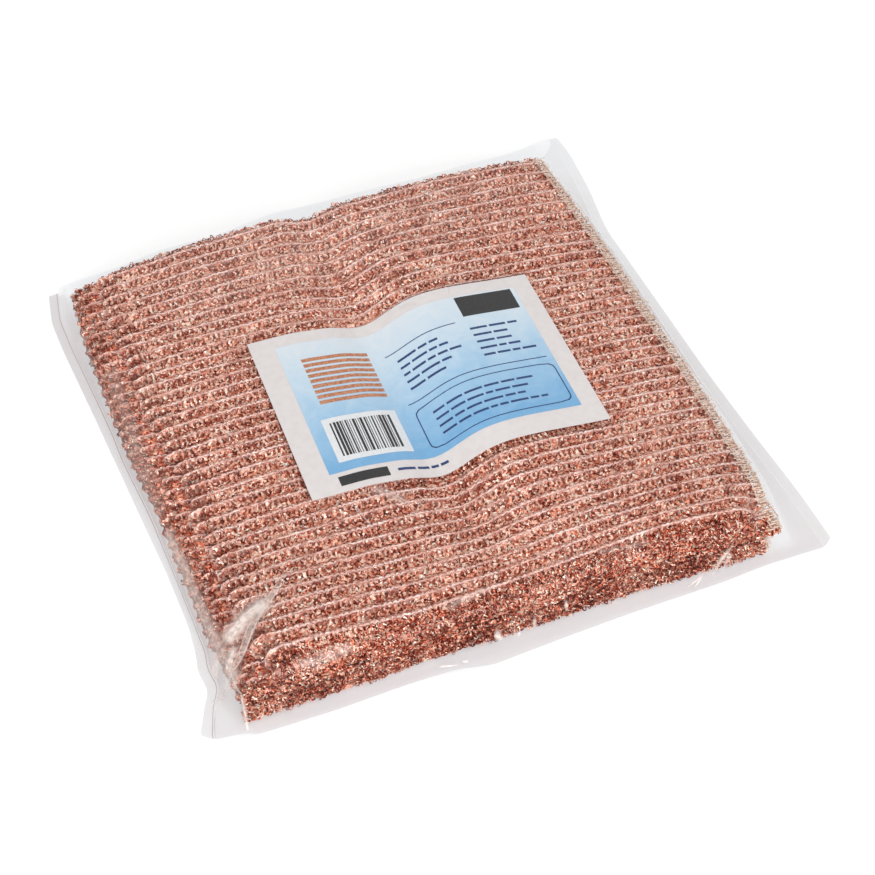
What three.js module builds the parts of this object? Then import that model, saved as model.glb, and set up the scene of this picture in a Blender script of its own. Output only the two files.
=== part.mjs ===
// Retail pack of ribbed copper scouring cloths: folded double cloths with an
// overlocked edge, stacked in a clear film bag that is open at the back, with
// a paper label on the film. Millimetres, +Z up. X runs along the ribs, Y from
// the folded front of the bag to its mouth, and the bag lies flat on Z = 0.
import * as THREE from "three";

// Cloth: a knitted tube, pressed flat, folded on the left, overlocked on the right
const CLOTH_COUNT = 10;
const CLOTH_LENGTH = 250;
const LAYER_THICKNESS = 0.6;
const LAYER_GAP = 0.25;
const RIB_PITCH = 7;
const RIB_DEPTH = 0.2;
const SEAM_WIDTH = 4.5;

// Stack: how the cloths lie on each other
const CLOTH_GAP = 0.2;
const FOLD_STAGGER = 4;
const FOLD_STAGGER_RATE = 2.4;
const FRONT_STAGGER = 1.5;
const FRONT_STAGGER_RATE = 1.7;
const TOP_SHIFT = 13;

// Bag: one film, folded at the front, welded along both sides, open at the back
const BAG_WIDTH = 277;
const BAG_LENGTH = 298;
const FILM_THICKNESS = 0.5;
const MOUTH_SKEW = 21;
const LIP_RAKE = 0.6;
const WELD_WIDTH = 5;
const WELD_BEAD_WIDTH = 1.2;
const WELD_BEAD_HEIGHT = 0.4;
const LEFT_MARGIN = 12.5;
const RIGHT_MARGIN = 21.5;
const FRONT_MARGIN = 11;
const SIDE_CLEARANCE = 2;
const RIGHT_SLOPE = 8;

// Label: paper, stuck on the film
const LABEL_WIDTH = 136;
const LABEL_HEIGHT = 98;
const LABEL_THICKNESS = 0.2;
const LABEL_X = 5.5;
const LABEL_Y = -9.5;

// Buckle of the top cloth, which the film and the label follow
const CREST_HEIGHT = 5.5;
const CREST_AT = 22;
const CREST_SPREAD = 38;
const DIP_DEPTH = 10;
const DIP_AT = -8;
const DIP_SPREAD = 15;
const FOLD_DROP = 3;
const SEAM_DROP = 6;
const EDGE_POWER = 8;

// Clearances between neighbours that touch on the real pack
const FIT_GAP = 0.3;
const FILM_GAP = 0.2;

// Facets
const FOLD_STEPS = 3;
const SEAM_STEPS = 5;
const FINE_STEP = 6;
const COARSE_STEP = 18;

// Places worked out from the sizes above
const CLOTH_THICKNESS = 2 * LAYER_THICKNESS + LAYER_GAP;
const CLOTH_PITCH = CLOTH_THICKNESS + CLOTH_GAP;
const RIB_COUNT = Math.round(CLOTH_LENGTH / RIB_PITCH);
const CLOTH_WIDTH = BAG_WIDTH - LEFT_MARGIN - TOP_SHIFT - RIGHT_MARGIN;
const KNIT_WIDTH = CLOTH_WIDTH - SEAM_WIDTH - FIT_GAP;
const BAG_LEFT = -BAG_WIDTH / 2;
const BAG_RIGHT = BAG_WIDTH / 2;
const BAG_FRONT = -BAG_LENGTH / 2;
const STACK_LEFT = BAG_LEFT + LEFT_MARGIN;
const STACK_FRONT = BAG_FRONT + FRONT_MARGIN;
const STACK_BASE = FILM_THICKNESS + FIT_GAP;
const TOP_BASE = STACK_BASE + (CLOTH_COUNT - 1) * CLOTH_PITCH;
const TOP_LEFT = STACK_LEFT + TOP_SHIFT;
const TOP_RIGHT = TOP_LEFT + CLOTH_WIDTH;
const FLANGE_TOP = 2 * FILM_THICKNESS + FILM_GAP;
const FILM_LEFT = BAG_LEFT + WELD_WIDTH + FIT_GAP;
const FILM_RIGHT = BAG_RIGHT - WELD_WIDTH - FIT_GAP;
const FOLD_RADIUS = FLANGE_TOP / 2;
const FILM_FRONT = BAG_FRONT + FOLD_RADIUS + FIT_GAP;

// Materials
const copperKnit = new THREE.MeshStandardMaterial({ color: 0xb5694d, roughness: 0.45, metalness: 0.6 });
const overlockThread = new THREE.MeshStandardMaterial({ color: 0xe3cdb4, roughness: 0.9, metalness: 0 });
const clearFilm = new THREE.MeshStandardMaterial({
  color: 0xf2f2f4,
  roughness: 0.15,
  metalness: 0,
  transparent: true,
  opacity: 0.25,
});
const labelPaper = new THREE.MeshStandardMaterial({ color: 0xdfe9f2, roughness: 0.5, metalness: 0 });

// A closed triangle mesh that is put together face by face
class Shell {
  constructor() {
    this.points = [];
    this.faces = [];
  }

  point(x, y, z) {
    this.points.push(x, y, z);
    return this.points.length / 3 - 1;
  }

  triangle(a, b, c) {
    this.faces.push(a, b, c);
  }

  quad(a, b, c, d) {
    this.triangle(a, b, c);
    this.triangle(a, c, d);
  }

  geometry() {
    const made = new THREE.BufferGeometry();
    made.setAttribute("position", new THREE.Float32BufferAttribute(this.points, 3));
    made.setIndex(this.faces);
    made.computeVertexNormals();
    return made;
  }
}

function named(name, geometry, material) {
  const mesh = new THREE.Mesh(geometry, material);
  mesh.name = name;
  return mesh;
}

function bell(t) {
  return Math.exp(-t * t);
}

// Height of the buckle at x, against a flat top cloth
function buckle(x) {
  const crest = CREST_HEIGHT * bell((x - CREST_AT) / CREST_SPREAD);
  const dip = DIP_DEPTH * bell((x - DIP_AT) / DIP_SPREAD);
  const out = (2 * x - TOP_LEFT - TOP_RIGHT) / CLOTH_WIDTH;
  const drop = (out < 0 ? FOLD_DROP : SEAM_DROP) * out ** EDGE_POWER;
  return crest - dip - drop;
}

// Places along X, close together where the surface bends
function stations(from, to) {
  const fineFrom = DIP_AT - 2 * DIP_SPREAD;
  const fineTo = CREST_AT + DIP_SPREAD;
  const found = [from];
  let x = from;
  while (x < to) {
    const step = x > fineFrom && x < fineTo ? FINE_STEP : COARSE_STEP;
    x = Math.min(x + step, to);
    found.push(x);
  }
  return found;
}

const TOP_STATIONS = stations(TOP_LEFT, TOP_RIGHT);
const LOWEST_BUCKLE = Math.min(...TOP_STATIONS.map(buckle));

// Top of the top cloth at a station, and between two stations along the chord
function topHeight(x) {
  const next = TOP_STATIONS.findIndex((s) => s >= x);
  if (next <= 0) return TOP_BASE + CLOTH_THICKNESS + buckle(TOP_STATIONS.at(next)) - LOWEST_BUCKLE;
  const [a, b] = [TOP_STATIONS[next - 1], TOP_STATIONS[next]];
  const height = THREE.MathUtils.mapLinear(x, a, b, buckle(a), buckle(b));
  return TOP_BASE + CLOTH_THICKNESS + height - LOWEST_BUCKLE;
}

// The section of a folded cloth, from its upper layer round the fold to its lower
// layer, as pairs of a point on its outside and a point on its inside
function foldedSection(upper) {
  const pairs = upper.map(([x, z]) => ({ outside: [x, z], inside: [x, z - LAYER_THICKNESS] }));
  const radius = upper.at(-1)[1] / 2;
  for (let i = 1; i < FOLD_STEPS; i++) {
    const turn = Math.PI / 2 + (Math.PI * i) / FOLD_STEPS;
    const at = (r) => [radius + r * Math.cos(turn), radius + r * Math.sin(turn)];
    pairs.push({ outside: at(radius), inside: at(radius - LAYER_THICKNESS) });
  }
  for (const x of [radius, KNIT_WIDTH]) {
    pairs.push({ outside: [x, 0], inside: [x, LAYER_THICKNESS] });
  }
  return pairs;
}

// The section's outside, sunk by a depth towards its inside
function sunk({ outside, inside }, depth) {
  const [dx, dz] = [inside[0] - outside[0], inside[1] - outside[1]];
  const share = depth / Math.hypot(dx, dz);
  return [outside[0] + dx * share, outside[1] + dz * share];
}

// Ribs run round the section, and repeat along Y from the front edge at Y = 0
function ribbedCloth(section) {
  const shell = new Shell();
  const rows = 2 * RIB_COUNT;
  const rowY = (j) => (CLOTH_LENGTH * j) / rows;
  const outside = [];
  for (let j = 0; j <= rows; j++) {
    const depth = j % 2 ? 0 : RIB_DEPTH;
    outside.push(
      section.map((pair) => {
        const [x, z] = sunk(pair, depth);
        return shell.point(x, rowY(j), z);
      }),
    );
  }
  const inside = [0, rows].map((j) => section.map((pair) => shell.point(pair.inside[0], rowY(j), pair.inside[1])));
  const last = section.length - 1;
  for (let i = 0; i < last; i++) {
    for (let j = 0; j < rows; j++) {
      shell.quad(outside[j][i], outside[j + 1][i], outside[j + 1][i + 1], outside[j][i + 1]);
    }
    shell.quad(inside[0][i], inside[0][i + 1], inside[1][i + 1], inside[1][i]);
    shell.quad(outside[0][i], outside[0][i + 1], inside[0][i + 1], inside[0][i]);
    shell.quad(outside[rows][i], inside[1][i], inside[1][i + 1], outside[rows][i + 1]);
  }
  for (let j = 0; j < rows; j++) {
    const near = j < RIB_COUNT ? 0 : 1;
    shell.triangle(inside[near][0], outside[j + 1][0], outside[j][0]);
    shell.triangle(inside[near][last], outside[j][last], outside[j + 1][last]);
  }
  shell.triangle(inside[0][0], inside[1][0], outside[RIB_COUNT][0]);
  shell.triangle(inside[0][last], outside[RIB_COUNT][last], inside[1][last]);
  return shell.geometry();
}

// The overlock bead closes the right edge: flat against the knit, round outside
function overlockBead(height) {
  const bead = new THREE.Shape();
  const round = Math.min(height, SEAM_WIDTH) / 2;
  bead.moveTo(0, 0);
  bead.lineTo(SEAM_WIDTH - round, 0);
  bead.absellipse(SEAM_WIDTH - round, height / 2, round, height / 2, -Math.PI / 2, Math.PI / 2, false);
  bead.lineTo(0, height);
  const made = new THREE.ExtrudeGeometry(bead, {
    depth: CLOTH_LENGTH,
    bevelEnabled: false,
    curveSegments: SEAM_STEPS,
  });
  made.rotateX(Math.PI / 2);
  made.translate(0, CLOTH_LENGTH, 0);
  return made;
}

// The upper layer of a cloth from right to left, measured from its own corner
function upperLayer(isTop) {
  if (!isTop) {
    return [
      [KNIT_WIDTH, CLOTH_THICKNESS],
      [CLOTH_THICKNESS / 2, CLOTH_THICKNESS],
    ];
  }
  const fold = (topHeight(TOP_LEFT) - TOP_BASE) / 2;
  const within = TOP_STATIONS.map((x) => x - TOP_LEFT).filter((x) => x > fold && x < KNIT_WIDTH);
  const path = [KNIT_WIDTH, ...within.reverse()].map((x) => [x, topHeight(TOP_LEFT + x) - TOP_BASE]);
  return [...path, [fold, 2 * fold]];
}

function makeCloth(index) {
  const isTop = index === CLOTH_COUNT - 1;
  const name = "cloth_" + String(index + 1).padStart(2, "0");
  const wave = (rate) => (1 + Math.sin(rate * (index + 1))) / 2;
  const upper = upperLayer(isTop);
  const cloth = new THREE.Group();
  cloth.position.set(
    isTop ? TOP_LEFT : STACK_LEFT + FOLD_STAGGER * wave(FOLD_STAGGER_RATE),
    STACK_FRONT + FRONT_STAGGER * wave(FRONT_STAGGER_RATE),
    STACK_BASE + index * CLOTH_PITCH,
  );
  cloth.add(named(name, ribbedCloth(foldedSection(upper)), copperKnit));
  const edge = isTop ? topHeight(TOP_RIGHT) - TOP_BASE : CLOTH_THICKNESS;
  const seam = named(name + "_overlock", overlockBead(edge), overlockThread);
  seam.position.x = KNIT_WIDTH + FIT_GAP;
  cloth.add(seam);
  return cloth;
}

// Back edge of the bag as it lies flat, cut a little askew
function mouthY(x) {
  return BAG_LENGTH / 2 - MOUTH_SKEW * (0.5 - x / BAG_WIDTH);
}

// Back edge of the upper film, drawn forwards where the stack lifts it
function lipY(x, z) {
  return mouthY(x) - LIP_RAKE * (z - FLANGE_TOP);
}

// A sheet with its outside on a grid of points and its inside one thickness behind them
function sheetSolid(rows, thickness) {
  const shell = new Shell();
  const [rowEnd, columnEnd] = [rows.length - 1, rows[0].length - 1];
  const step = (a, b) => new THREE.Vector3().subVectors(b, a);
  const normal = (j, i) => {
    const along = step(rows[j][Math.max(i - 1, 0)], rows[j][Math.min(i + 1, columnEnd)]);
    const across = step(rows[Math.max(j - 1, 0)][i], rows[Math.min(j + 1, rowEnd)][i]);
    return along.cross(across).normalize();
  };
  const outside = rows.map((row) => row.map((p) => shell.point(p.x, p.y, p.z)));
  const inside = rows.map((row, j) =>
    row.map((p, i) => {
      const back = p.clone().addScaledVector(normal(j, i), -thickness);
      return shell.point(back.x, back.y, back.z);
    }),
  );
  for (let j = 0; j < rowEnd; j++) {
    for (let i = 0; i < columnEnd; i++) {
      shell.quad(outside[j][i], outside[j][i + 1], outside[j + 1][i + 1], outside[j + 1][i]);
      shell.quad(inside[j][i], inside[j + 1][i], inside[j + 1][i + 1], inside[j][i + 1]);
    }
    shell.quad(outside[j][0], outside[j + 1][0], inside[j + 1][0], inside[j][0]);
    shell.quad(outside[j][columnEnd], inside[j][columnEnd], inside[j + 1][columnEnd], outside[j + 1][columnEnd]);
  }
  for (let i = 0; i < columnEnd; i++) {
    shell.quad(outside[0][i], inside[0][i], inside[0][i + 1], outside[0][i + 1]);
    shell.quad(outside[rowEnd][i], outside[rowEnd][i + 1], inside[rowEnd][i + 1], inside[rowEnd][i]);
  }
  return shell.geometry();
}

// Section of the upper film: flange, side, buckled top, side, flange
function filmSection() {
  const lift = FIT_GAP + FILM_THICKNESS;
  const shoulder = TOP_BASE + lift;
  const top = TOP_STATIONS.map((x) => [x, topHeight(x) + lift]);
  return [
    [FILM_LEFT, FLANGE_TOP],
    [STACK_LEFT - SIDE_CLEARANCE, FLANGE_TOP],
    [STACK_LEFT - SIDE_CLEARANCE / 2, shoulder],
    [TOP_LEFT - lift, top[0][1]],
    ...top,
    [TOP_RIGHT + lift, top.at(-1)[1]],
    [TOP_RIGHT + RIGHT_SLOPE, FLANGE_TOP],
    [FILM_RIGHT, FLANGE_TOP],
  ];
}

function makeUpperFilm() {
  const section = filmSection();
  const row = (place, height) => section.map(([x, z]) => new THREE.Vector3(x, place(x, z), height(z)));
  const flat = () => FLANGE_TOP;
  const full = (z) => z;
  const rows = [
    row(() => FILM_FRONT, flat),
    row(() => STACK_FRONT - SIDE_CLEARANCE, flat),
    row(() => STACK_FRONT - SIDE_CLEARANCE / 2, full),
    row(lipY, full),
  ];
  return named("film_upper", sheetSolid(rows, FILM_THICKNESS), clearFilm);
}

function makeLowerFilm() {
  const outline = new THREE.Shape([
    new THREE.Vector2(FILM_LEFT, FILM_FRONT),
    new THREE.Vector2(FILM_RIGHT, FILM_FRONT),
    new THREE.Vector2(FILM_RIGHT, mouthY(FILM_RIGHT)),
    new THREE.Vector2(FILM_LEFT, mouthY(FILM_LEFT)),
  ]);
  const film = new THREE.ExtrudeGeometry(outline, { depth: FILM_THICKNESS, bevelEnabled: false });
  return named("film_lower", film, clearFilm);
}

function makeFrontFold() {
  const half = new THREE.Shape();
  half.moveTo(0, 0);
  half.absarc(0, FOLD_RADIUS, FOLD_RADIUS, -Math.PI / 2, Math.PI / 2, false);
  const fold = new THREE.ExtrudeGeometry(half, {
    depth: FILM_RIGHT - FILM_LEFT,
    bevelEnabled: false,
    curveSegments: SEAM_STEPS,
  });
  fold.rotateX(Math.PI / 2);
  fold.rotateZ(-Math.PI / 2);
  const mesh = named("film_front_fold", fold, clearFilm);
  mesh.position.set(FILM_RIGHT, BAG_FRONT + FOLD_RADIUS, 0);
  return mesh;
}

// Both films fused and trimmed, with the raised weld line on the inner side
function makeWeld(name, outerX, inwards) {
  const bead = FLANGE_TOP + WELD_BEAD_HEIGHT;
  const outline = [
    [0, 0],
    [WELD_WIDTH, 0],
    [WELD_WIDTH, bead],
    [WELD_WIDTH - WELD_BEAD_WIDTH, bead],
    [WELD_WIDTH - WELD_BEAD_WIDTH - WELD_BEAD_HEIGHT, FLANGE_TOP],
    [0, FLANGE_TOP],
  ];
  const section = new THREE.Shape(outline.map(([x, z]) => new THREE.Vector2(inwards * x, z)));
  const length = mouthY(outerX) - BAG_FRONT;
  const weld = new THREE.ExtrudeGeometry(section, { depth: length, bevelEnabled: false });
  weld.rotateX(Math.PI / 2);
  const mesh = named(name, weld, clearFilm);
  mesh.position.set(outerX, mouthY(outerX), 0);
  return mesh;
}

function makeLabel() {
  const left = LABEL_X - LABEL_WIDTH / 2;
  const right = LABEL_X + LABEL_WIDTH / 2;
  const columns = [left, ...TOP_STATIONS.filter((x) => x > left && x < right), right];
  const lift = 2 * FIT_GAP + FILM_THICKNESS + LABEL_THICKNESS;
  const row = (y) => columns.map((x) => new THREE.Vector3(x, y, topHeight(x) + lift));
  const rows = [row(LABEL_Y - LABEL_HEIGHT / 2), row(LABEL_Y + LABEL_HEIGHT / 2)];
  return named("label", sheetSolid(rows, LABEL_THICKNESS), labelPaper);
}

const bag = new THREE.Group();
bag.add(makeUpperFilm());
bag.add(makeLowerFilm());
bag.add(makeFrontFold());
bag.add(makeWeld("weld_left", BAG_LEFT, 1));
bag.add(makeWeld("weld_right", BAG_RIGHT, -1));
bag.add(makeLabel());

const pack = new THREE.Group();
pack.add(bag);
for (let i = 0; i < CLOTH_COUNT; i++) pack.add(makeCloth(i));

export default pack;
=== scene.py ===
import math

import bpy
import numpy as np
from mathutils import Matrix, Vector


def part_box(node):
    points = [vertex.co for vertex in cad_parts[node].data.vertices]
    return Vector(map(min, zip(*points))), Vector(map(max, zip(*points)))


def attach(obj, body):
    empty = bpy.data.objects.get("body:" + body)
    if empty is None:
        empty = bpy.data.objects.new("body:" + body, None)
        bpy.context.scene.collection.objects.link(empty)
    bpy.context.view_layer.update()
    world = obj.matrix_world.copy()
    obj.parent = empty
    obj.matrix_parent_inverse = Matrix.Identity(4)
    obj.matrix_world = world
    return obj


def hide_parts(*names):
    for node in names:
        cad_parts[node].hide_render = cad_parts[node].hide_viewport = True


# Retail pack of ribbed copper scouring cloths in a clear film bag, dressed round the packed
# model. Shapes are worked out in millimetres in the model's frame and stored in metres.
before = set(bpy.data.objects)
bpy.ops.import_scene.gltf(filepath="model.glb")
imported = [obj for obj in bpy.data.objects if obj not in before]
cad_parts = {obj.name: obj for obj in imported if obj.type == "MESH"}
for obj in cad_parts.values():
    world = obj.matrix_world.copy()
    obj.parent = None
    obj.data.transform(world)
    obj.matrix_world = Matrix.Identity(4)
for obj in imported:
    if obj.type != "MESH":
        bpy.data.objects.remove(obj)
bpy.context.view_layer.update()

MM = 0.001
SEED = 11

# Camera, from the fit of the top cloth's corners in the photograph
CAMERA_AZIMUTH = -20.6
CAMERA_ELEVATION = 48.83
CAMERA_DISTANCE = 730.2
CAMERA_TARGET = (-1.2, -43.3, 24.2)
CAMERA_LENS = 69.03
SENSOR_WIDTH = 36.0

# Knit: ribs along X, loops in rows along each rib
RIB_PITCH = 7.0
ROWS_PER_RIB = 8
CREST_ROW = 4
LOOP_ROWS = (0, 1, 2, 3, 6, 7)
FOLD_LOOP_ROWS = (2, 3, 4, 5)
WALE_PITCH = 2.3
TAPE_WIDTH = 0.46
TAPE_THICKNESS = 0.15
TAPE_STEPS = 4
TAPE_SPREAD = (0.7, 1.3)
TAPE_SWAY, TAPE_TILT = 0.4, 0.5
# Tone offsets of single lengths of tape: the highest reach the palest stops, which are painted glints
TAPE_SHINE = (-0.5, -0.4, -0.25, -0.1, 0.0, 0.1, 0.2, 0.42)
RIDGE_RADIUS = 0.52
RIDGE_SEAT, RIDGE_SWELL = 0.7, 0.15
RIDGE_WIDTHS = (0.75, 0.5)
RIDGE_SCALLOP = 0.38
RIDGE_WANDER, WANDER_LENGTH, WANDER_STEP = 0.3, 13, 1.7
RIB_SHARPNESS, CREST_SHARPNESS = 1.2, 4
HOLE_ROWS = (2, 3)
HOLE_CHANCE = 0.8
HOLE_DEPTH = 0.9
CRUMPLE = 0.2
LOOP_SCATTER, LOOP_TURN = 0.8, 0.8
LOOP_LENGTH, LOOP_HEIGHT = (1.0, 2.6), (0.2, 0.8)
FOLD_COLUMNS = 11
FOLD_START = 0.4
HIDDEN_SKIP = 8
KNUCKLE_SPREAD = 7.0
KNUCKLE_RISE = 0.6
FOLD_WOBBLE = 0.4

# What differs between the top cloth, which lies loose, the pressed ones below it, and the
# uppermost of those, whose fold shows on the left
TOP_STEP, LOWER_STEP, SECOND_STEP = 0.77, 2.0, 1.2
TOP_RIB_HEIGHT, LOWER_RIB_HEIGHT, SECOND_RIB_HEIGHT = 1.7, 0.7, 1.2
TOP_KNUCKLE, LOWER_KNUCKLE, SECOND_KNUCKLE = 2.2, 0.5, 1.8
# Painted shade between the knuckles at the fold
GAP_SHADE = 0.8
TOP_FOLD_REACH, LOWER_FOLD_REACH, SECOND_FOLD_REACH = 4.5, 2.0, 3.0
TOP_LOOPS, LOWER_LOOPS = 2.5, 0.9
TOP_THIN, LOWER_THIN, SECOND_THIN = 0.7, 0.1, 0.6
SECOND_FOLD_IN = 3.5
LOWER_PHASES, SECOND_PHASE = (0, 2, 5), 3
STITCH_SEED = 50
FLUFF_ROWS, LOWER_FLUFF_ROWS = 11, 4
FLUFF_DENSITY = 1.8
FLUFF_WIDTH = 0.66
FLUFF_LENGTH, FLUFF_HEIGHT = (1.1, 2.9), (0.4, 1.7)

# The cloths lie a little askew: how far their left and right edges stand out at y, and how far
# their front and back edges lie back at x, each rounded over a length
LEFT_SKEW = (
    (-138, 9), (-122, 7), (-96, 4.2), (-64, 2.8), (-23, 0.9), (10, -2.8), (85, -5.5), (113, -4.2),
)
RIGHT_BOW = ((-138, 2.5), (-120, 4.2), (-90, 5), (-40, 5.5), (50, 4.5), (113, -0.5))
FRONT_BOW = (
    (-112, 0), (-94, 0), (-77, 0.2), (-56, 0.5), (-36, 2), (-8, 1.5), (36, 2.6), (62, 3), (89, 2.2),
    (107, 2.6), (118, 2.2),
)
FRONT_BOW_LENGTH = 45.0
LOWER_CORNERS = (4.0, 10.0, 5.5, 11.0)
LOWER_CORNER_Y = (-105, -137)
BACK_BOW = (
    (-90, 0), (-66, 2), (-36, 3), (-25, 5), (-3, 5), (7, 3), (20, 0.5), (39, 2), (60, 4), (104, 6),
    (116, 7),
)
BACK_BOW_LENGTH = 60.0
SKEW_SOFT, BOW_SOFT, FRONT_BOW_SOFT, BACK_BOW_SOFT = 6.0, 12.0, 6.0, 8.0

# Front of the stack: the top cloth curls down, and two cloths below it lie further in
CURL_LENGTH = 12.0
CURL_DROP = 8.5
CURL_REST = 19.5
RECESSED_CLOTHS = (7, 8)
RECESS = 3.5
FRINGE_REACH = (0.4, 1.8)
FRINGE_WIDTH = (1.0, 2.6)
FRINGE_SPACING = 0.6
FRINGE_RISE, FRINGE_SCATTER = 0.5, 0.35

# Overlock: cream thread wrapped round the right edge, with a chain along it
STITCH_PITCH = 1.05
STITCH_RADIUS = 0.33
STITCH_INSET = (2.8, 6.6)
STITCH_RISE = 0.3
STITCH_STEPS, FUZZ_STEPS = 9, 5
STITCH_LEAN = (0.6, 0.9)
STITCH_SCATTER, STITCH_SKEW, STITCH_LOOSENESS = 0.35, 0.4, 0.12
SEAM_BARE = 3.2
SEAM_END = 0.2
CHAIN_RADIUS = 0.26
CHAIN_SWING = 0.5
CHAIN_END = 0.5
CHAIN_STEPS = 4
FUZZ_COUNT = 1300
FUZZ_RADIUS = 0.14
FUZZ_END, FUZZ_DRIFT = 1, 1.5
FUZZ_INSET, FUZZ_REACH = (0, 5), (-0.6, 2.0)
FUZZ_LEVEL, FUZZ_RISE = (0.6, 1.0), (0.3, 1.0)
STRAY_WIDTH = 0.4
STRAY_ENDS = (
    ((118, -121, 17), (120.5, -124, 16), (122, -127.5, 14), (121.5, -129, 13)),
    ((117, -131, 13.5), (119, -131.5, 12.5), (120, -133.5, 11.5), (119, -134.5, 11)),
)

# Film: gaps above what it covers, its welds, the places of its edges as (y, x) or (x, y) points with
# the lengths they are rounded over, and the grids of its sheets
FILM_LIFT = 1.3
FLANGE_HEIGHT = 1.2
LOWER_FILM_HEIGHT = 0.4
WELD_WIDTH = 5.0
WELD_LEAST = 2.0
WELD_ROOM, WELD_CLEAR, FRONT_CLEAR = 1.5, 0.3, 0.5
WELD_ROWS = 120
WELD_ROUNDING = 12
WELD_SECTION = (
    (0, 0.3), (0, 0.8), (0.4, 0.8), (1.0, 0.85), (2.0, 0.9), (3.4, 1.0),
    (3.8, 1.1), (4.0, 1.1), (4.2, 1.1), (5, 1.2), (5, 1.1), (4.2, 0.3),
)
WELD_LINE = 4.0
LEFT_WELD_BACK, RIGHT_WELD_BACK = 129, 154
LEFT_EDGE = (
    (-137, -135.6), (-126, -131.5), (-118, -127.5), (-108, -129), (-98, -127.5), (-86, -126.8), (-54, -128.5),
    (-5, -132.8), (48, -137.4), (90, -141.3), (110, -142.4), (133, -139.4),
)
RIGHT_EDGE = (
    (-137, 144.7), (-109, 144), (-70, 141.1), (-29, 138.9), (14, 137.8), (45, 137), (77, 136), (92, 138),
    (108, 140.5), (142, 142.8), (156, 141),
)
FRONT_EDGE = (
    (-135.6, -136), (-133, -139.5), (-129, -141.5), (-122, -144.6), (-89, -144.8), (-55, -143.5),
    (-38, -143.8), (-22, -147), (14, -144.8), (42, -143.5), (89, -142.5), (108, -141), (138, -141.2),
    (142, -140), (144.7, -136.5),
)
BACK_EDGE = (
    (-141, 132), (-108, 136.5), (-80, 141.5), (-45, 144), (-15, 149), (30, 149), (75, 149.5),
    (117, 151), (141, 156),
)
LIP_EDGE = (
    (-141, 131), (-128, 127), (-113, 116), (-42, 119), (-8, 124), (18, 121), (45, 123.5),
    (104, 124), (122, 133), (141, 154),
)
LEFT_SOFT, RIGHT_SOFT, FRONT_SOFT, BACK_SOFT, LIP_SOFT = 2.5, 8.0, 2.5, 6.0, 5.0
FILM_MARKS = (-130, -128, -108, 113, 131, 138)
FLAT_FILM_SIDES = (FILM_MARKS[0], FILM_MARKS[-1])
FILM_COLUMNS, FILM_ROWS = (5, 22, 230, 20, 6), (8, 18, 230)
LOWER_FILM_COLUMNS, LOWER_FILM_ROWS = 60, 64
LIP_WAVE, LIP_WAVE_Y, LIP_WAVE_LENGTHS = 0.4, (112, 140), (9, 14)

# Film walls: the share of the full height at distances inwards from the edge of the stack
LEFT_WALL = ((-1.0, 0.35), (-0.3, 0.55), (0.6, 0.66), (6, 0.82), (13, 0.97), (18, 1.0))
RIGHT_WALL = ((-14, 0.0), (-11, 0.08), (-7, 0.36), (-3.5, 0.74), (-1, 0.95), (4, 1.0))
FRONT_WALL = ((-3.4, 0.18), (-2.8, 0.5), (-2.2, 0.74), (0, 0.84), (4, 0.95), (9, 1.0))
RIGHT_WALL_SOFT = 1.2
WALL_FOOT = 3.4
WELD_FOOT = 6.0
CURL_COVER = 0.7

# Film creases: soft ones with points, half width, lift and milkiness, and sharp ones with points,
# half width and milkiness; the milk of the brightest is a painted highlight of the film. The pleat is
# a flat fold with a painted highlight as a bright line on each side.
PLEAT = (
    (-84, -90.5), (-89, -97), (-94, -102.5), (-100.5, -108), (-106.5, -114.5), (-109.6, -118.6),
    (-114.5, -124.4), (-118.3, -125.5), (-122.8, -122.8), (-129, -124.5),
)
PLEAT_HALF = 2.0
PLEAT_SECTION = ((-1, 0), (-0.75, 0.8), (-0.4, 0.36), (0.4, 0.3), (0.75, 0.7), (1, 0))
SHARP_SECTION = ((-1, 0), (0, 1), (1, 0))
CREASE_LIFT = 0.3
CREASES = (
    (PLEAT[3:], 1.8, 0.9, 0.1),
    # Painted highlights of the film at the front left: on the bulge, below it and in the margin
    (((-113.5, -111), (-108, -109), (-103, -107), (-99, -105.5)), 3.8, 0.3, 1.0),
    (((-118, -121), (-115.5, -119)), 2.4, 0.2, 0.75),
    (((-126.5, -109.5), (-121.5, -112)), 2.6, 0.5, 0.6),
    (
        ((-123.5, -45), (-121.5, -71), (-121, -87), (-120.3, -100), (-119, -115), (-117.2, -129)),
        2.0, 0.0, 0.45,
    ),
    (((-124.4, 50), (-125, 20), (-125, -6), (-124.5, -33)), 3.5, 0.0, 0.15),
    (((-70, 85), (70, 95)), 30.0, 0.0, 0.06),
    # Below the label, and then along the top of the front roll: painted highlights
    (((-36, -62), (-28, -70)), 2.2, 0.2, 0.32),
    (((-93, -136.5), (-86, -137), (-79, -136.3), (-73, -135.8)), 1.3, 0.1, 0.28),
    (((-28, -129), (-19, -128), (-11, -127)), 1.2, 0.1, 0.24),
    (((38, -128), (48, -129.5), (58, -130)), 1.0, 0.1, 0.2),
)
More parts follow.
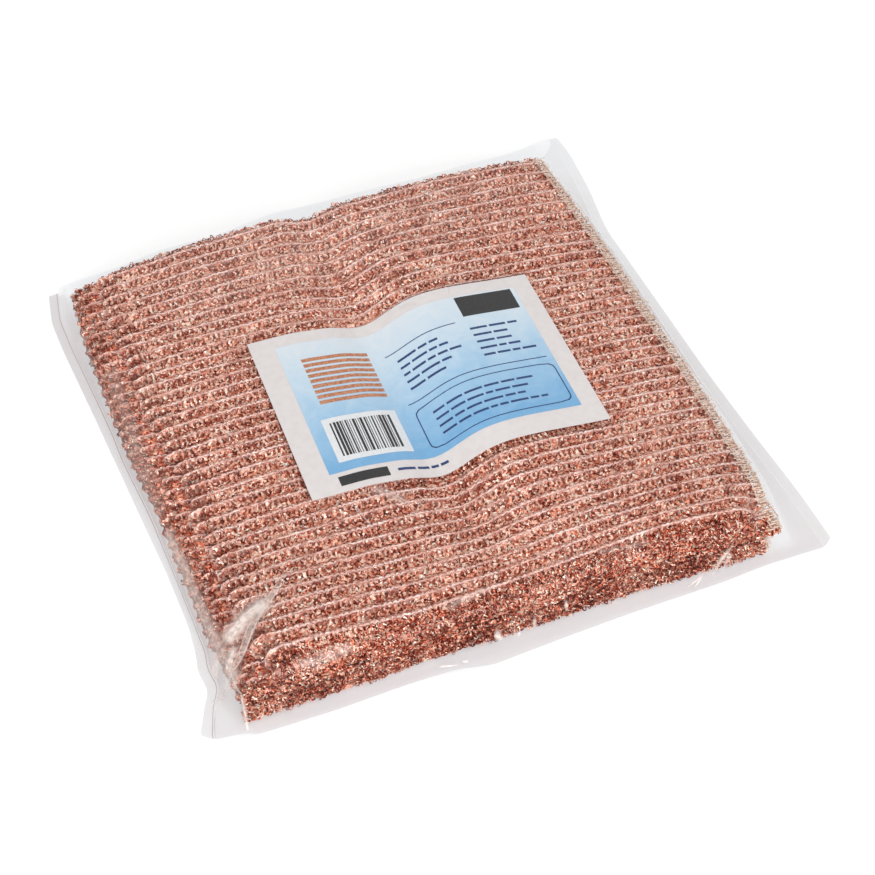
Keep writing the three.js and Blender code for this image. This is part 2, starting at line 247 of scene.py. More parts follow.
SHARP_CREASES = (
    # Each sharp crease is a thin painted highlight of the film: below the label, at the front right, along
    # the front and at the front left corner
    (((-48, -62), (-46, -75), (-43, -86)), 0.5, 0.45),
    (((-34, -61), (-25, -74), (-22, -84)), 0.5, 0.45),
    (((73.5, -141.1), (78.2, -140.2), (81.8, -139.1)), 0.35, 0.6),
    (((76.9, -141.8), (80.3, -140.1), (82.3, -138.9)), 0.35, 0.8),
    (((85.2, -141.3), (86.6, -139.4), (88.8, -138.8), (93.4, -138.3), (95, -137.8)), 0.3, 0.55),
    (((90, -140), (92.1, -138.8), (95, -138.6)), 0.3, 0.5),
    (((-38, -141.4), (-34, -142), (-29, -142.6)), 0.35, 0.8),
    (((-28, -142), (-25, -142.5)), 0.4, 0.8),
    (((-13, -139.4), (-9, -139.8)), 0.45, 0.8),
    (((-3, -140), (-1, -139.8)), 0.35, 0.6),
    (((4, -139.3), (6, -139.3)), 0.4, 0.6),
    (((18, -138.5), (20, -138.7)), 0.35, 0.5),
    (((-117.3, -134.5), (-117.5, -138), (-117.8, -143)), 1.1, 0.9),
    (((-118.6, -121.5), (-118.3, -129), (-117.3, -135)), 0.4, 0.6),
)
STRIP_STEPS, STRIP_SOFT, STRIP_ENDS = 9, 0.08, (0.03, 0.97)
FINE_CREASES = 16
FINE_CREASE_X, FINE_CREASE_Y = (-105, 110), (-125, 105)
FINE_CREASE_ANGLE, FINE_CREASE_LENGTH = (1.1, 0.6), (12, 40)
FINE_CREASE_HALF, FINE_CREASE_LIFT, FINE_CREASE_MILK = (0.5, 1.0), (0.15, 0.4), (0.03, 0.12)
RIPPLE_HEIGHT = 0.22
RIPPLES = 7
RIPPLE_LENGTHS, RIPPLE_SPREAD, SHORT_RIPPLE = (34, 9), (0.7, 1.4), 0.4
FILM_SEED = 70

# Film looks: its gloss seen straight on and at its edges, the weld's line, the painted shade of the welds
# and flat margins, tinted pink as a painted reflection of the copper, the milk of creases, which is partly
# painted highlight, and the tint and haze of each kind of film
FILM_GLOSS = 0.004
FILM_SHEEN = 0.6
# The line tint darkens the weld's own line, and tints the painted shade of margins and welds pink as a
# painted reflection of the copper
LINE_AND_SHADE_TINT = (0.46, 0.33, 0.33)
PAINTED_MARGIN_SHADE = 0.15
LEFT_SHADE, LEFT_SHADE_X, LEFT_SHADE_Y = 0.7, (0, -120), (-138, -112)
FRONT_SHADE, FRONT_SHADE_Y = 0.3, (-130, -140)
BACK_SHADE, BACK_SHADE_Y = -0.8, (60, 140)
RIGHT_SHADE, RIGHT_SHADE_X = 0.35, (100, 118)
MARGIN_FADE, RIGHT_FADE = 0.5, 0.95
LEFT_WELD_SHADES, RIGHT_WELD_SHADES = (0.04, 0.09), (0.06, 0.0)
WELD_SHADE_Y = (-60, 90)
MILK_AND_GLINT = (1.0, 0.87, 0.8)
CREASE_GRAIN = (0.7, 1.15)
FILM_TINT, FLAT_TINT, WELD_TINT = (0.985, 0.985, 0.987), (0.915, 0.93, 0.94), (0.93, 0.935, 0.94)
FILM_HAZE, FLAT_HAZE, WELD_HAZE = (0.0, 0.012), (0.01, 0.06), (0.02, 0.05)

# Copper tones of the top cloth, and of the fluff and the cloths below it, which are deeper and redder
# as painted shade. The palest cream stops of both are painted glints
KNIT_TONES = (
    (0.0, (0.13, 0.016, 0.008)),
    (0.15, (0.28, 0.046, 0.023)),
    (0.33, (0.56, 0.155, 0.085)),
    (0.55, (0.79, 0.36, 0.245)),
    (0.82, (0.98, 0.68, 0.54)),
    (0.95, (1.0, 0.89, 0.78)),
)
SHADED_LOOSE_TONES = (
    (0.0, (0.15, 0.012, 0.005)),
    (0.15, (0.32, 0.038, 0.016)),
    (0.33, (0.62, 0.13, 0.062)),
    (0.55, (0.9, 0.32, 0.19)),
    (0.8, (1.0, 0.64, 0.47)),
    (0.95, (1.0, 0.9, 0.78)),
)
FACET_SCALE, FACET_TILT = 1200.0, 0.45
PATCH_DEPTH = 0.6
# Painted sheen: the rib tops are blended towards a pale pink tint
CREST_SHEEN_TINT, CREST_SHEEN_SHARE = (0.84, 0.58, 0.52), 0.45
# Painted shade in the holes and between the knuckles at the fold
HOLE_SHADE_TINT, HOLE_SHADE_SHARE = (0.2, 0.034, 0.017), 0.75

# Tones of the threads: the one along each rib, pale or worn, and the cream one with its ply
RIDGE_PALE = ((0.3, (0.6, 0.33, 0.28)), (0.5, (0.84, 0.58, 0.52)), (0.7, (0.98, 0.84, 0.78)))
RIDGE_WORN = ((0.3, (0.36, 0.1, 0.06)), (0.5, (0.68, 0.3, 0.21)), (0.7, (0.9, 0.58, 0.45)))
RIDGE_WEAR = (0.42, 0.62)
THREAD_TONES = ((0.3, (0.7, 0.42, 0.31)), (0.48, (0.9, 0.66, 0.53)), (0.7, (1.0, 0.88, 0.79)))
PLY_DEPTH = 0.3

# Label: white paper with a printed panel, set out from its lower left corner
LABEL_LIFT = 0.45
PRINT_LIFT = 0.06
LABEL_BORDER = 11.0
PANEL_TOP, PANEL_RIGHT = 7, 9
LABEL_GRID = (90, 50)
PATCH_STEP = (2, 4)
RING_STEPS = 72
LABEL_SHIFT = (-0.8, -2.2)
LABEL_SKEW = 0.02
PAPER_TONES = ((0.35, (0.74, 0.69, 0.68)), (0.65, (0.78, 0.735, 0.725)))
PAPER_ROUGHNESS, INK_ROUGHNESS = 0.42, 0.4
PANEL_TONES = (
    (0.0, (0.19, 0.43, 0.7)), (0.35, (0.36, 0.58, 0.79)), (0.75, (0.62, 0.75, 0.85)),
    (1.0, (0.74, 0.8, 0.85)),
)
WATER_DEPTH = 0.5
INKS = (
    ("navy_ink", ((0.4, (0.01, 0.03, 0.12)), (0.6, (0.02, 0.06, 0.2)))),
    ("black_ink", ((0.4, (0.012, 0.011, 0.011)), (0.6, (0.02, 0.018, 0.018)))),
    ("white_ink", ((0.4, (0.76, 0.78, 0.8)), (0.6, (0.82, 0.83, 0.84)))),
    ("copper_ink", ((0.4, (0.42, 0.15, 0.07)), (0.6, (0.62, 0.27, 0.14)))),
)

# Print: boxes as left, low, right and high on the flat label, blocks of bars as left, right, first
# row, rows, pitch and height, and a frame as its middle, half sizes, line and squareness
TEXT_BLOCKS = (
    (62, 92, 68, 5, 4.4, 1.3), (97, 124, 68, 5, 4.4, 1.3), (66, 118, 32.5, 4, 4.2, 1.2),
    (40, 66, 5.2, 1, 3, 1.4),
)
ROW_SHARE = (0.62, 1.0)
WORD_LENGTH, WORD_GAP = (3, 9), 1.1
TEXT_RULES = ((58, 43.2, 124, 43.7), (58, 74.2, 92, 74.7))
TEXT_FRAME = (92, 27, 33, 12.5, 0.5, 12.0)
DARK_BARS = ((97, 77, 125, 90), (14, 3.4, 36, 8.6))
FIRST_RIB, PRINT_RIB_PITCH, PRINT_RIBS = (20, 51, 51, 53.1), 3.4, 9
WHITE_BLOCK, STRIPE_BLOCK = (17, 16, 51, 42), (20.0, 19, 47.5, 39)
STRIPE_WIDTHS, STRIPE_GAPS, STRIPE_SEED = (0.35, 0.7, 1.1), (0.4, 0.8), 5

# Top of the pack along its front edge, where the buckle of the top cloth runs out, what the back
# edge stands higher than the buckle, each rounded over a length, and the corner that hangs down
FRONT_PROFILE = (
    (-118, 28.5), (-100, 30.5), (-74, 28.5), (-40, 23), (-11, 24), (23, 27), (63, 29), (95, 26.8),
    (108, 23), (120, 17),
)
TOP_SOFT, FRONT_TOP_SOFT, BACK_LIFT_SOFT = 4.0, 10.0, 8.0
FRONT_BLEND = (-62, -128)
BACK_LIFT = (
    (-90, 0), (-66, 1.5), (-36, 1.5), (-25, 4), (-3, 4), (7, 2), (20, 0), (39, 1), (60, 2), (116, 2),
)
BACK_BLEND = (45, 108)
CORNER_DROP = 9.5
CORNER_X = (98, 116)
CORNER_Y = (-110, -135)

# Stage: the floor, whose glow grows between two distances in metres, the world's light on things and
# as it is seen, and the lamps with their place in metres, size and power
FLOOR_HALF = 6000
FLOOR_TONE = (0.8, 0.8, 0.8, 1)
GLOW_REACH, FLOOR_GLOW = (0.5, 1.8), (0.38, 0.52)
WORLD_GLOW = (0.64, 1.0)
LAMPS = (("key", (0.2, -0.6, 1.2), 0.6, 3.4), ("fill", (-0.35, -1.3, 0.45), 1.0, 13.0))


def smooth_step(low, high, t):
    """0 at low, 1 at high, with a soft start and end."""
    s = np.clip((np.asarray(t, dtype=float) - low) / (high - low), 0, 1)
    return s * s * (3 - 2 * s)


def along(points, t, softness=0.0):
    """A line through a few points, rounded over a length where softness is given."""
    xs, ys = zip(*points)
    if not softness:
        return np.interp(t, xs, ys)
    shifts = np.linspace(-softness, softness, 9)
    return sum(np.interp(np.asarray(t) + s, xs, ys) for s in shifts) / len(shifts)


def unit(vectors):
    return vectors / np.maximum(np.linalg.norm(vectors, axis=-1, keepdims=True), 1e-9)


def box_mm(node):
    """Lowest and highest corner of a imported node, in millimetres."""
    low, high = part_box(node)
    return np.array(low) / MM, np.array(high) / MM


# Meshes


def linked(obj):
    bpy.context.scene.collection.objects.link(obj)
    return obj


def new_object(name, points, faces, material, smooth=False):
    """An object from points in millimetres and faces that all have as many corners."""
    faces = np.asarray(faces, dtype=np.int32)
    mesh = bpy.data.meshes.new(name)
    points = np.asarray(points, dtype=np.float32).reshape(-1, 3) * MM
    mesh.vertices.add(len(points))
    mesh.vertices.foreach_set("co", points.ravel())
    mesh.loops.add(faces.size)
    mesh.loops.foreach_set("vertex_index", faces.ravel())
    mesh.polygons.add(len(faces))
    mesh.polygons.foreach_set("loop_start", np.arange(len(faces), dtype=np.int32) * faces.shape[1])
    mesh.polygons.foreach_set("use_smooth", np.full(len(faces), smooth))
    mesh.update(calc_edges=True)
    mesh.materials.append(material)
    return linked(bpy.data.objects.new(name, mesh))


def point_value(obj, name, values):
    """A number at each point, which the material reads."""
    attribute = obj.data.attributes.new(name, "FLOAT", "POINT")
    attribute.data.foreach_set("value", np.asarray(values, dtype=np.float32).ravel())


def grid_faces(rows, columns):
    """Quads of a grid of points, facing up where columns run along X and rows along Y."""
    j, i = np.meshgrid(np.arange(rows - 1), np.arange(columns - 1), indexing="ij")
    a = (j * columns + i).ravel()
    return np.stack([a, a + 1, a + columns + 1, a + columns], axis=1)


def join(parts):
    """Several pairs of points and faces as one pair."""
    points, faces, count = [], [], 0
    for some_points, some_faces in parts:
        some_points = np.asarray(some_points).reshape(-1, 3)
        points.append(some_points)
        faces.append(np.asarray(some_faces) + count)
        count += len(some_points)
    return np.concatenate(points), np.concatenate(faces)


def strands(paths, width, thickness, up, sides=3):
    """Closed thin tubes round many paths at once. paths and up have the shape (count, steps, 3)."""
    count, steps, _ = paths.shape
    ahead = unit(np.gradient(paths, axis=1))
    side = unit(np.cross(ahead, up))
    lift = np.cross(side, ahead)
    turn = 2 * np.pi * np.arange(sides)[:, None] / sides
    wide = np.broadcast_to(width, (count, steps))[..., None, None] / 2
    high = np.broadcast_to(thickness, (count, steps))[..., None, None] / 2
    ring = side[:, :, None] * np.cos(turn) * wide + lift[:, :, None] * np.sin(turn) * high
    points = paths[:, :, None] + ring
    start = np.arange(count)[:, None, None] * steps * sides
    step = np.arange(steps - 1)[None, :, None] * sides
    a = start + step + np.arange(sides)
    b = start + step + (np.arange(sides) + 1) % sides
    walls = (np.stack([a, b + sides, b], -1), np.stack([a, a + sides, b + sides], -1))
    faces = [wall.reshape(-1, 3) for wall in walls]
    first = np.arange(count) * steps * sides
    last = first + (steps - 1) * sides
    for k in range(1, sides - 1):
        faces.append(np.stack([first, first + k, first + k + 1], -1))
        faces.append(np.stack([last, last + k + 1, last + k], -1))
    return points.reshape(-1, 3), np.concatenate(faces)


def triangles(quads):
    """Each quad as two triangles."""
    return np.concatenate([quads[:, [0, 1, 2]], quads[:, [0, 2, 3]]])


def tube_faces(rows, count):
    """Triangles of a closed tube from rows of points that run round it."""
    a = np.arange(rows - 1) * count
    closing = np.stack([a + count - 1, a, a + count, a + 2 * count - 1], axis=1)
    fan = np.arange(1, count - 1)
    last = (rows - 1) * count
    front_cap = np.stack([0 * fan, fan, fan + 1], axis=1)
    back_cap = np.stack([last + 0 * fan, last + fan + 1, last + fan], axis=1)
    sides = (triangles(grid_faces(rows, count)), triangles(closing))
    return np.concatenate([*sides, front_cap, back_cap])


# Materials


def new_material(name):
    material = bpy.data.materials.new(name)
    material.use_nodes = True
    material.node_tree.nodes.clear()
    return material, material.node_tree


def add_node(tree, kind, inputs=None, **settings):
    """A node with its settings, and its inputs set to a value or linked to another node's output."""
    node = tree.nodes.new(kind)
    for key, value in settings.items():
        setattr(node, key, value)
    for key, value in (inputs or {}).items():
        if isinstance(value, bpy.types.NodeSocket):
            tree.links.new(value, node.inputs[key])
        else:
            node.inputs[key].default_value = value
    return node


def ramp(tree, factor, stops):
    """A colour ramp with stops of a place and a colour."""
    node = add_node(tree, "ShaderNodeValToRGB", {"Fac": factor})
    elements = node.color_ramp.elements
    while len(elements) < len(stops):
        elements.new(1.0)
    for element, (place, colour) in zip(elements, stops):
        element.position = place
        element.color = (*colour, 1)
    return node.outputs["Color"]


def mixed(tree, factor, first, second):
    """A blend of two colours."""
    inputs = {0: factor, 6: first, 7: second}
    return add_node(tree, "ShaderNodeMix", inputs, data_type="RGBA").outputs[2]


def mixed_shader(tree, factor, first, second):
    return add_node(tree, "ShaderNodeMixShader", {0: factor, 1: first, 2: second}).outputs[0]


def maths(tree, operation, *values):
    return add_node(tree, "ShaderNodeMath", dict(enumerate(values)), operation=operation).outputs[0]


def vector_maths(tree, operation, *values):
    return add_node(tree, "ShaderNodeVectorMath", dict(enumerate(values)), operation=operation)


def map_range(tree, value, start, end):
    """A value carried over from one range to another."""
    keys = ("From Min", "From Max", "To Min", "To Max")
    inputs = dict(zip(keys, (*start, *end)))
    return add_node(tree, "ShaderNodeMapRange", {"Value": value, **inputs}).outputs[0]


def own_place(tree):
    return add_node(tree, "ShaderNodeTexCoord").outputs["Object"]


def noise(tree, scale, detail, **more):
    """Noise that is fixed to the piece."""
    inputs = {"Vector": own_place(tree), "Scale": scale, "Detail": detail, **more}
    return add_node(tree, "ShaderNodeTexNoise", inputs).outputs[0]


def stored(tree, name):
    """The number that point_value stored at each point."""
    return add_node(tree, "ShaderNodeAttribute", attribute_name=name).outputs["Fac"]


def output(tree, shader):
    add_node(tree, "ShaderNodeOutputMaterial", {"Surface": shader})


def coat(tree, colour, roughness, more=None):
    """An opaque surface."""
    inputs = {"Base Color": colour, "Roughness": roughness, **(more or {})}
    output(tree, add_node(tree, "ShaderNodeBsdfPrincipled", inputs).outputs[0])


def facet_normal(tree, random_vector, tilt):
    """The surface's own normal, tipped a different way in each small facet."""
    spread = vector_maths(tree, "MULTIPLY_ADD", random_vector, (2 * tilt,) * 3, (-tilt,) * 3)
    own = add_node(tree, "ShaderNodeNewGeometry").outputs["Normal"]
    tipped = vector_maths(tree, "ADD", own, spread.outputs[0])
    return vector_maths(tree, "NORMALIZE", tipped.outputs[0]).outputs[0]


def copper_material(name, tones):
    """Flat copper tape: small facets of many tones, whose palest are painted glints, pale on the rib tops as
    painted sheen, and dark in the holes as painted shade.
    """
    material, tree = new_material(name)
    inputs = {"Vector": own_place(tree), "Scale": FACET_SCALE}
    facets = add_node(tree, "ShaderNodeTexVoronoi", inputs).outputs["Color"]
    tone = add_node(tree, "ShaderNodeSeparateColor", {"Color": facets}).outputs[0]
    patches = maths(tree, "SUBTRACT", noise(tree, scale=70.0, detail=3.0), 0.5)
    tone = maths(tree, "ADD", tone, maths(tree, "MULTIPLY", patches, PATCH_DEPTH))
    colour = ramp(tree, maths(tree, "ADD", tone, stored(tree, "shine")), tones)
    # Painted sheen on the rib tops
    crest_sheen = maths(tree, "MULTIPLY", stored(tree, "crest_sheen"), CREST_SHEEN_SHARE)
    pale = mixed(tree, crest_sheen, colour, (*CREST_SHEEN_TINT, 1))
    # Painted shade in the holes and between the knuckles
    holes_and_shade = maths(tree, "MULTIPLY", stored(tree, "holes_and_shade"), HOLE_SHADE_SHARE)
    dark = mixed(tree, holes_and_shade, pale, (*HOLE_SHADE_TINT, 1))
    normal = facet_normal(tree, facets, FACET_TILT)
    coat(tree, dark, 0.34, {"Metallic": 0.5, "Specular IOR Level": 0.1, "Normal": normal})
    return material


def ridge_material():
    """The thread along the top of each rib: pale and pinkish, and worn to copper in places."""
    material, tree = new_material("ridge_thread")
    fine = noise(tree, scale=420.0, detail=3.0)
    wear = map_range(tree, noise(tree, scale=75.0, detail=2.0), RIDGE_WEAR, (0.0, 0.6))
    colour = mixed(tree, wear, ramp(tree, fine, RIDGE_PALE), ramp(tree, fine, RIDGE_WORN))
    coat(tree, colour, 0.45, {"Metallic": 0.15})
    return material


def thread_material():
    """Cream sewing thread, with a fine ply along it."""
    material, tree = new_material("cream_thread")
    ply = noise(tree, scale=500.0, detail=4.0)
    inputs = {"Height": ply, "Strength": 0.5, "Distance": PLY_DEPTH * MM}
    bump = add_node(tree, "ShaderNodeBump", inputs)
    coat(tree, ramp(tree, ply, THREAD_TONES), 0.8, {"Normal": bump.outputs[0]})
    return material


def film_material(name, tint, patch_haze):
    """Thin clear film: see-through, glossy at grazing angles, milky in patches and along creases, where the
    milk is partly painted highlight, and darker and pinker where line is set, as painted shade with a pink
    painted reflection of the copper.
    """
    material, tree = new_material(name)
    wide = noise(tree, scale=22.0, detail=4.0, Roughness=0.6)
    patches = map_range(tree, wide, (0.42, 0.7), patch_haze)
    grain = map_range(tree, noise(tree, scale=420.0, detail=3.0), (0.4, 0.6), CREASE_GRAIN)
    creases = maths(tree, "MULTIPLY", stored(tree, "haze_and_glint"), grain)
    # Darker and pinker where line is set: the weld's own line, and painted shade with a pink painted
    # reflection
    shade = mixed(tree, stored(tree, "line"), (*tint, 1), (*LINE_AND_SHADE_TINT, 1))
    clear = add_node(tree, "ShaderNodeBsdfTransparent", {"Color": shade}).outputs[0]
    # Milk, partly real haze and partly painted highlight along creases
    milk_and_glint = add_node(tree, "ShaderNodeBsdfDiffuse", {"Color": (*MILK_AND_GLINT, 1)}).outputs[0]
    body = mixed_shader(tree, maths(tree, "ADD", patches, creases), clear, milk_and_glint)
    gloss = add_node(tree, "ShaderNodeBsdfGlossy", {"Color": (1, 1, 1, 1), "Roughness": 0.07}).outputs[0]
    facing = add_node(tree, "ShaderNodeLayerWeight", {"Blend": 0.5}).outputs["Facing"]
    steep = maths(tree, "MULTIPLY", maths(tree, "POWER", facing, 5.0), FILM_SHEEN)
    output(tree, mixed_shader(tree, maths(tree, "ADD", steep, FILM_GLOSS), body, gloss))
    return material


def mottled(name, tones, scale, detail, roughness):
    """Paper or ink with a faint unevenness."""
    material, tree = new_material(name)
    coat(tree, ramp(tree, noise(tree, scale, detail), tones), roughness)
    return material


def panel_material(low_y, high_y):
    """The pale blue panel: nearly white at the top, sky blue below, with a watery mottle."""
    material, tree = new_material("label_panel_ink")
    y = add_node(tree, "ShaderNodeSeparateXYZ", {"Vector": own_place(tree)}).outputs[1]
    rise = map_range(tree, y, (low_y * MM, high_y * MM), (0.0, 1.0))
    water = noise(tree, scale=85.0, detail=5.0, Roughness=0.65, Distortion=1.2)
    spread = maths(tree, "MULTIPLY_ADD", water, WATER_DEPTH, -WATER_DEPTH / 2)
    coat(tree, ramp(tree, maths(tree, "ADD", rise, spread), PANEL_TONES), INK_ROUGHNESS)
    return material


COPPER = copper_material("copper_tape", KNIT_TONES)
# A shaded copy of the copper: deeper, redder tones painted as the shade of the fluff and the cloths below
SHADED_LOOSE_COPPER = copper_material("shaded_loose_copper_tape", SHADED_LOOSE_TONES)
RIDGE = ridge_material()
THREAD = thread_material()
FILM = film_material("clear_film", FILM_TINT, FILM_HAZE)
FLAT_FILM = film_material("clear_film_flat", FLAT_TINT, FLAT_HAZE)
WELD_FILM = film_material("clear_film_weld", WELD_TINT, WELD_HAZE)


# Top of the stack


def top_profile():
    """Height of the top cloth along X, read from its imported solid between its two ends."""
    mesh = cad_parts["cloth_10"].data
    points = np.empty(len(mesh.vertices) * 3, dtype=np.float32)
    mesh.vertices.foreach_get("co", points)
    points = points.reshape(-1, 3) / MM
    front, back = points[:, 1].min(), points[:, 1].max()
    inner = points[(points[:, 1] > front + 1) & (points[:, 1] < back - 1)]
    xs = np.unique(inner[:, 0].round(1))
    zs = [inner[np.abs(inner[:, 0] - x) < 0.06][:, 2].max() for x in xs]
    return list(zip(xs, zs))


TOP_PROFILE = top_profile()
TOP_LOW, TOP_HIGH = box_mm("cloth_10")
SEAM_HIGH = box_mm("cloth_10_overlock")[1]
STACK_FRONT, STACK_BACK = TOP_LOW[1], TOP_HIGH[1]
LOWER_CLOTHS = range(1, 10)
STACK_LEFT = min(box_mm(f"cloth_{k:02d}")[0][0] for k in LOWER_CLOTHS)
CLOTH_WIDTH = SEAM_HIGH[0] - TOP_LOW[0]
KNIT_WIDTH = CLOTH_WIDTH - SEAM_BARE
CLOTH_LENGTH = TOP_HIGH[1] - TOP_LOW[1]
CLOTH_HEIGHT = box_mm("cloth_01")[1][2] - box_mm("cloth_01")[0][2]


def top_height(x, y):
    """Top of the top cloth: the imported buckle, eased at both ends, with one corner that hangs down."""
    lift = along(BACK_LIFT, x, BACK_LIFT_SOFT) * smooth_step(*BACK_BLEND, y)
    packed = along(TOP_PROFILE, x, TOP_SOFT) + lift
    front = along(FRONT_PROFILE, x, FRONT_TOP_SOFT)
    share = smooth_step(*FRONT_BLEND, y)
    hang = CORNER_DROP * smooth_step(*CORNER_X, x) * smooth_step(*CORNER_Y, y)
    return packed + (front - packed) * share - hang


def curled(top, y):
    """The top cloth's height with its front curled down on to the cloths below."""
    share = np.clip((TOP_LOW[1] + CURL_LENGTH - y) / CURL_LENGTH, 0, 1)
    return top - np.maximum(CURL_DROP, top - CURL_REST) * share**2


# Cloths


def left_skew(y):
    return along(LEFT_SKEW, y, SKEW_SOFT)


def right_bow(y, corner=0.0):
    """How far the right edge stands out at y, with the front corner further out."""
    return along(RIGHT_BOW, y, BOW_SOFT) + corner * smooth_step(*LOWER_CORNER_Y, y)


def front_bow(x):
    return along(FRONT_BOW, x, FRONT_BOW_SOFT)


def side_shift(x, y, fold_in=0.0, corner=0.0):
    """How far a point of a cloth lies to the right, from its place across the straight cloth."""
    left = np.clip(1 - x / KNIT_WIDTH, 0, 1)
    return left * (left_skew(y) + fold_in) + (1 - left) * right_bow(y, corner)


def end_bow(x, y):
    """How far a point near the front or back edge lies further back."""
    front = front_bow(x) * smooth_step(STACK_FRONT + FRONT_BOW_LENGTH, STACK_FRONT, y)
    back = smooth_step(STACK_BACK - BACK_BOW_LENGTH, STACK_BACK, y)
    return front + along(BACK_BOW, x, BACK_BOW_SOFT) * back


class Knit:
    """The surface of one folded cloth, from its right edge over the top, round the fold and back below."""

    def __init__(self, height, reach, ribs, knuckle, step, seed, inset=0.0, phase=0, fold_in=0.0, corner=0.0):
        self.rng = np.random.default_rng(SEED + seed)
        self.ribs = round(CLOTH_LENGTH / RIB_PITCH)
        self.rows = self.ribs * ROWS_PER_RIB + 1
        self.step = step
        self.phase = phase
        x, turn = self.lay_across(reach)
        grid_x, grid_y = np.meshgrid(x, np.linspace(inset, CLOTH_LENGTH, self.rows))
        z = self.heights(height, grid_x, grid_y, turn)
        place_y = grid_y + STACK_FRONT
        grid_y = grid_y + end_bow(grid_x + TOP_LOW[0], place_y)
        grid_x = grid_x + side_shift(grid_x, place_y, fold_in, corner)
        self.fold = smooth_step(reach + KNUCKLE_SPREAD, reach, x)
        self.fold[self.folded :] = 0
        rib = (np.arange(self.rows) + phase) // ROWS_PER_RIB
        grid_x += self.rng.normal(0, FOLD_WOBBLE * knuckle, self.ribs + 2)[rib][:, None] * self.fold
        self.points = np.stack([grid_x, grid_y, z], axis=-1)
        self.measure()
        self.shape_ribs(ribs, knuckle)
        self.measure()

    def lay_across(self, reach):
        """Places across the cloth, from its right edge to the fold and back, and the turn of the fold."""
        self.upper = int((KNIT_WIDTH - reach) / self.step)
        self.folded = self.upper + FOLD_COLUMNS
        turn = np.linspace(np.pi / 2, 3 * np.pi / 2, FOLD_COLUMNS + 2)[1:-1]
        upper_x = np.linspace(KNIT_WIDTH, reach, self.upper)
        lower_x = np.linspace(reach, KNIT_WIDTH, self.upper // HIDDEN_SKIP)
        self.columns = self.folded + len(lower_x)
        return np.concatenate([upper_x, reach + reach * np.cos(turn), lower_x]), turn

    def heights(self, height, x, y, turn):
        """The height of the upper layer, then round the fold, then nothing below."""
        z = np.zeros_like(x)
        z[:, : self.upper] = height(x[:, : self.upper], y[:, : self.upper])
        radius = z[:, self.upper - 1 : self.upper] / 2
        z[:, self.upper : self.folded] = radius + radius * np.sin(turn)
        return z

    def measure(self):
        """Directions along X and Y in the surface, and out of it."""
        self.across = unit(np.gradient(self.points, axis=1))
        self.ahead = unit(np.gradient(self.points, axis=0))
        self.out = unit(np.cross(self.ahead, self.across))

    def shape_ribs(self, height, knuckle):
        """Ribs with knuckles at the fold, a row of holes in front of each ridge, and crumpled tape, with
        painted sheen on the rib tops and painted shade in the holes and between the knuckles.
        """
        row = np.arange(self.rows) + self.phase
        self.rib = (0.5 - 0.5 * np.cos(2 * np.pi * row / ROWS_PER_RIB)) ** RIB_SHARPNESS
        swell = knuckle * self.fold
        rise = (self.rib[:, None] - 1) * (height + swell) + KNUCKLE_RISE * swell
        in_slope = np.isin(row % ROWS_PER_RIB, HOLE_ROWS)
        stitch = max(2, round(WALE_PITCH / self.step))
        shift = self.rng.integers(0, stitch, self.ribs + 2)[row // ROWS_PER_RIB]
        gap = (np.arange(self.columns)[None, :] + shift[:, None]) % stitch == 0
        self.holes_and_shade = gap & in_slope[:, None] & (self.rng.random(gap.shape) < HOLE_CHANCE)
        jitter = self.rng.normal(0, CRUMPLE, self.points.shape)
        self.points += self.out * (rise - HOLE_DEPTH * self.holes_and_shade)[..., None] + jitter
        self.points[..., 2] = np.maximum(self.points[..., 2], 0)
        # Painted sheen on the rib tops, strongest at the crest
        self.crest_sheen = np.broadcast_to((self.rib**CREST_SHARPNESS)[:, None], gap.shape)
        # Painted shade: the holes, and the gaps between the knuckles at the fold, are darkened in colour
        self.holes_and_shade = np.maximum(self.holes_and_shade, GAP_SHADE * self.fold * (1 - self.rib[:, None]) ** 2)

    def rows_at(self, places, first=0):
        """Row numbers from places counted from the foot of each rib."""
        return np.clip(places - self.phase + first * ROWS_PER_RIB, 0, self.rows - 1)

    def sheet(self, name, material=COPPER):
        made = new_object(name, self.points, grid_faces(self.rows, self.columns)[:, ::-1], material)
        point_value(made, "crest_sheen", self.crest_sheen)
        point_value(made, "holes_and_shade", self.holes_and_shade)
        return made

    def arcs(self, row, column, length, height, heading):
        """Small arches of tape that start and end in the surface."""
        t = np.linspace(0, 1, TAPE_STEPS)
        run = length[:, None] * (t - 0.5)
        sway = self.rng.normal(0, TAPE_SWAY, (len(row), 1)) * np.sin(2 * np.pi * t)
        a = run * np.cos(heading)[:, None] - sway * np.sin(heading)[:, None]
        b = run * np.sin(heading)[:, None] + sway * np.cos(heading)[:, None]
        c = height[:, None] * np.sin(np.pi * t) - TAPE_THICKNESS
        paths = self.points[row, column][:, None] + self.across[row, column][:, None] * a[..., None]
        paths = paths + self.ahead[row, column][:, None] * b[..., None]
        paths = paths + self.out[row, column][:, None] * c[..., None]
        tilt = unit(self.out[row, column] + self.rng.normal(0, TAPE_TILT, (len(row), 3)))
        return paths, np.broadcast_to(tilt[:, None], paths.shape)

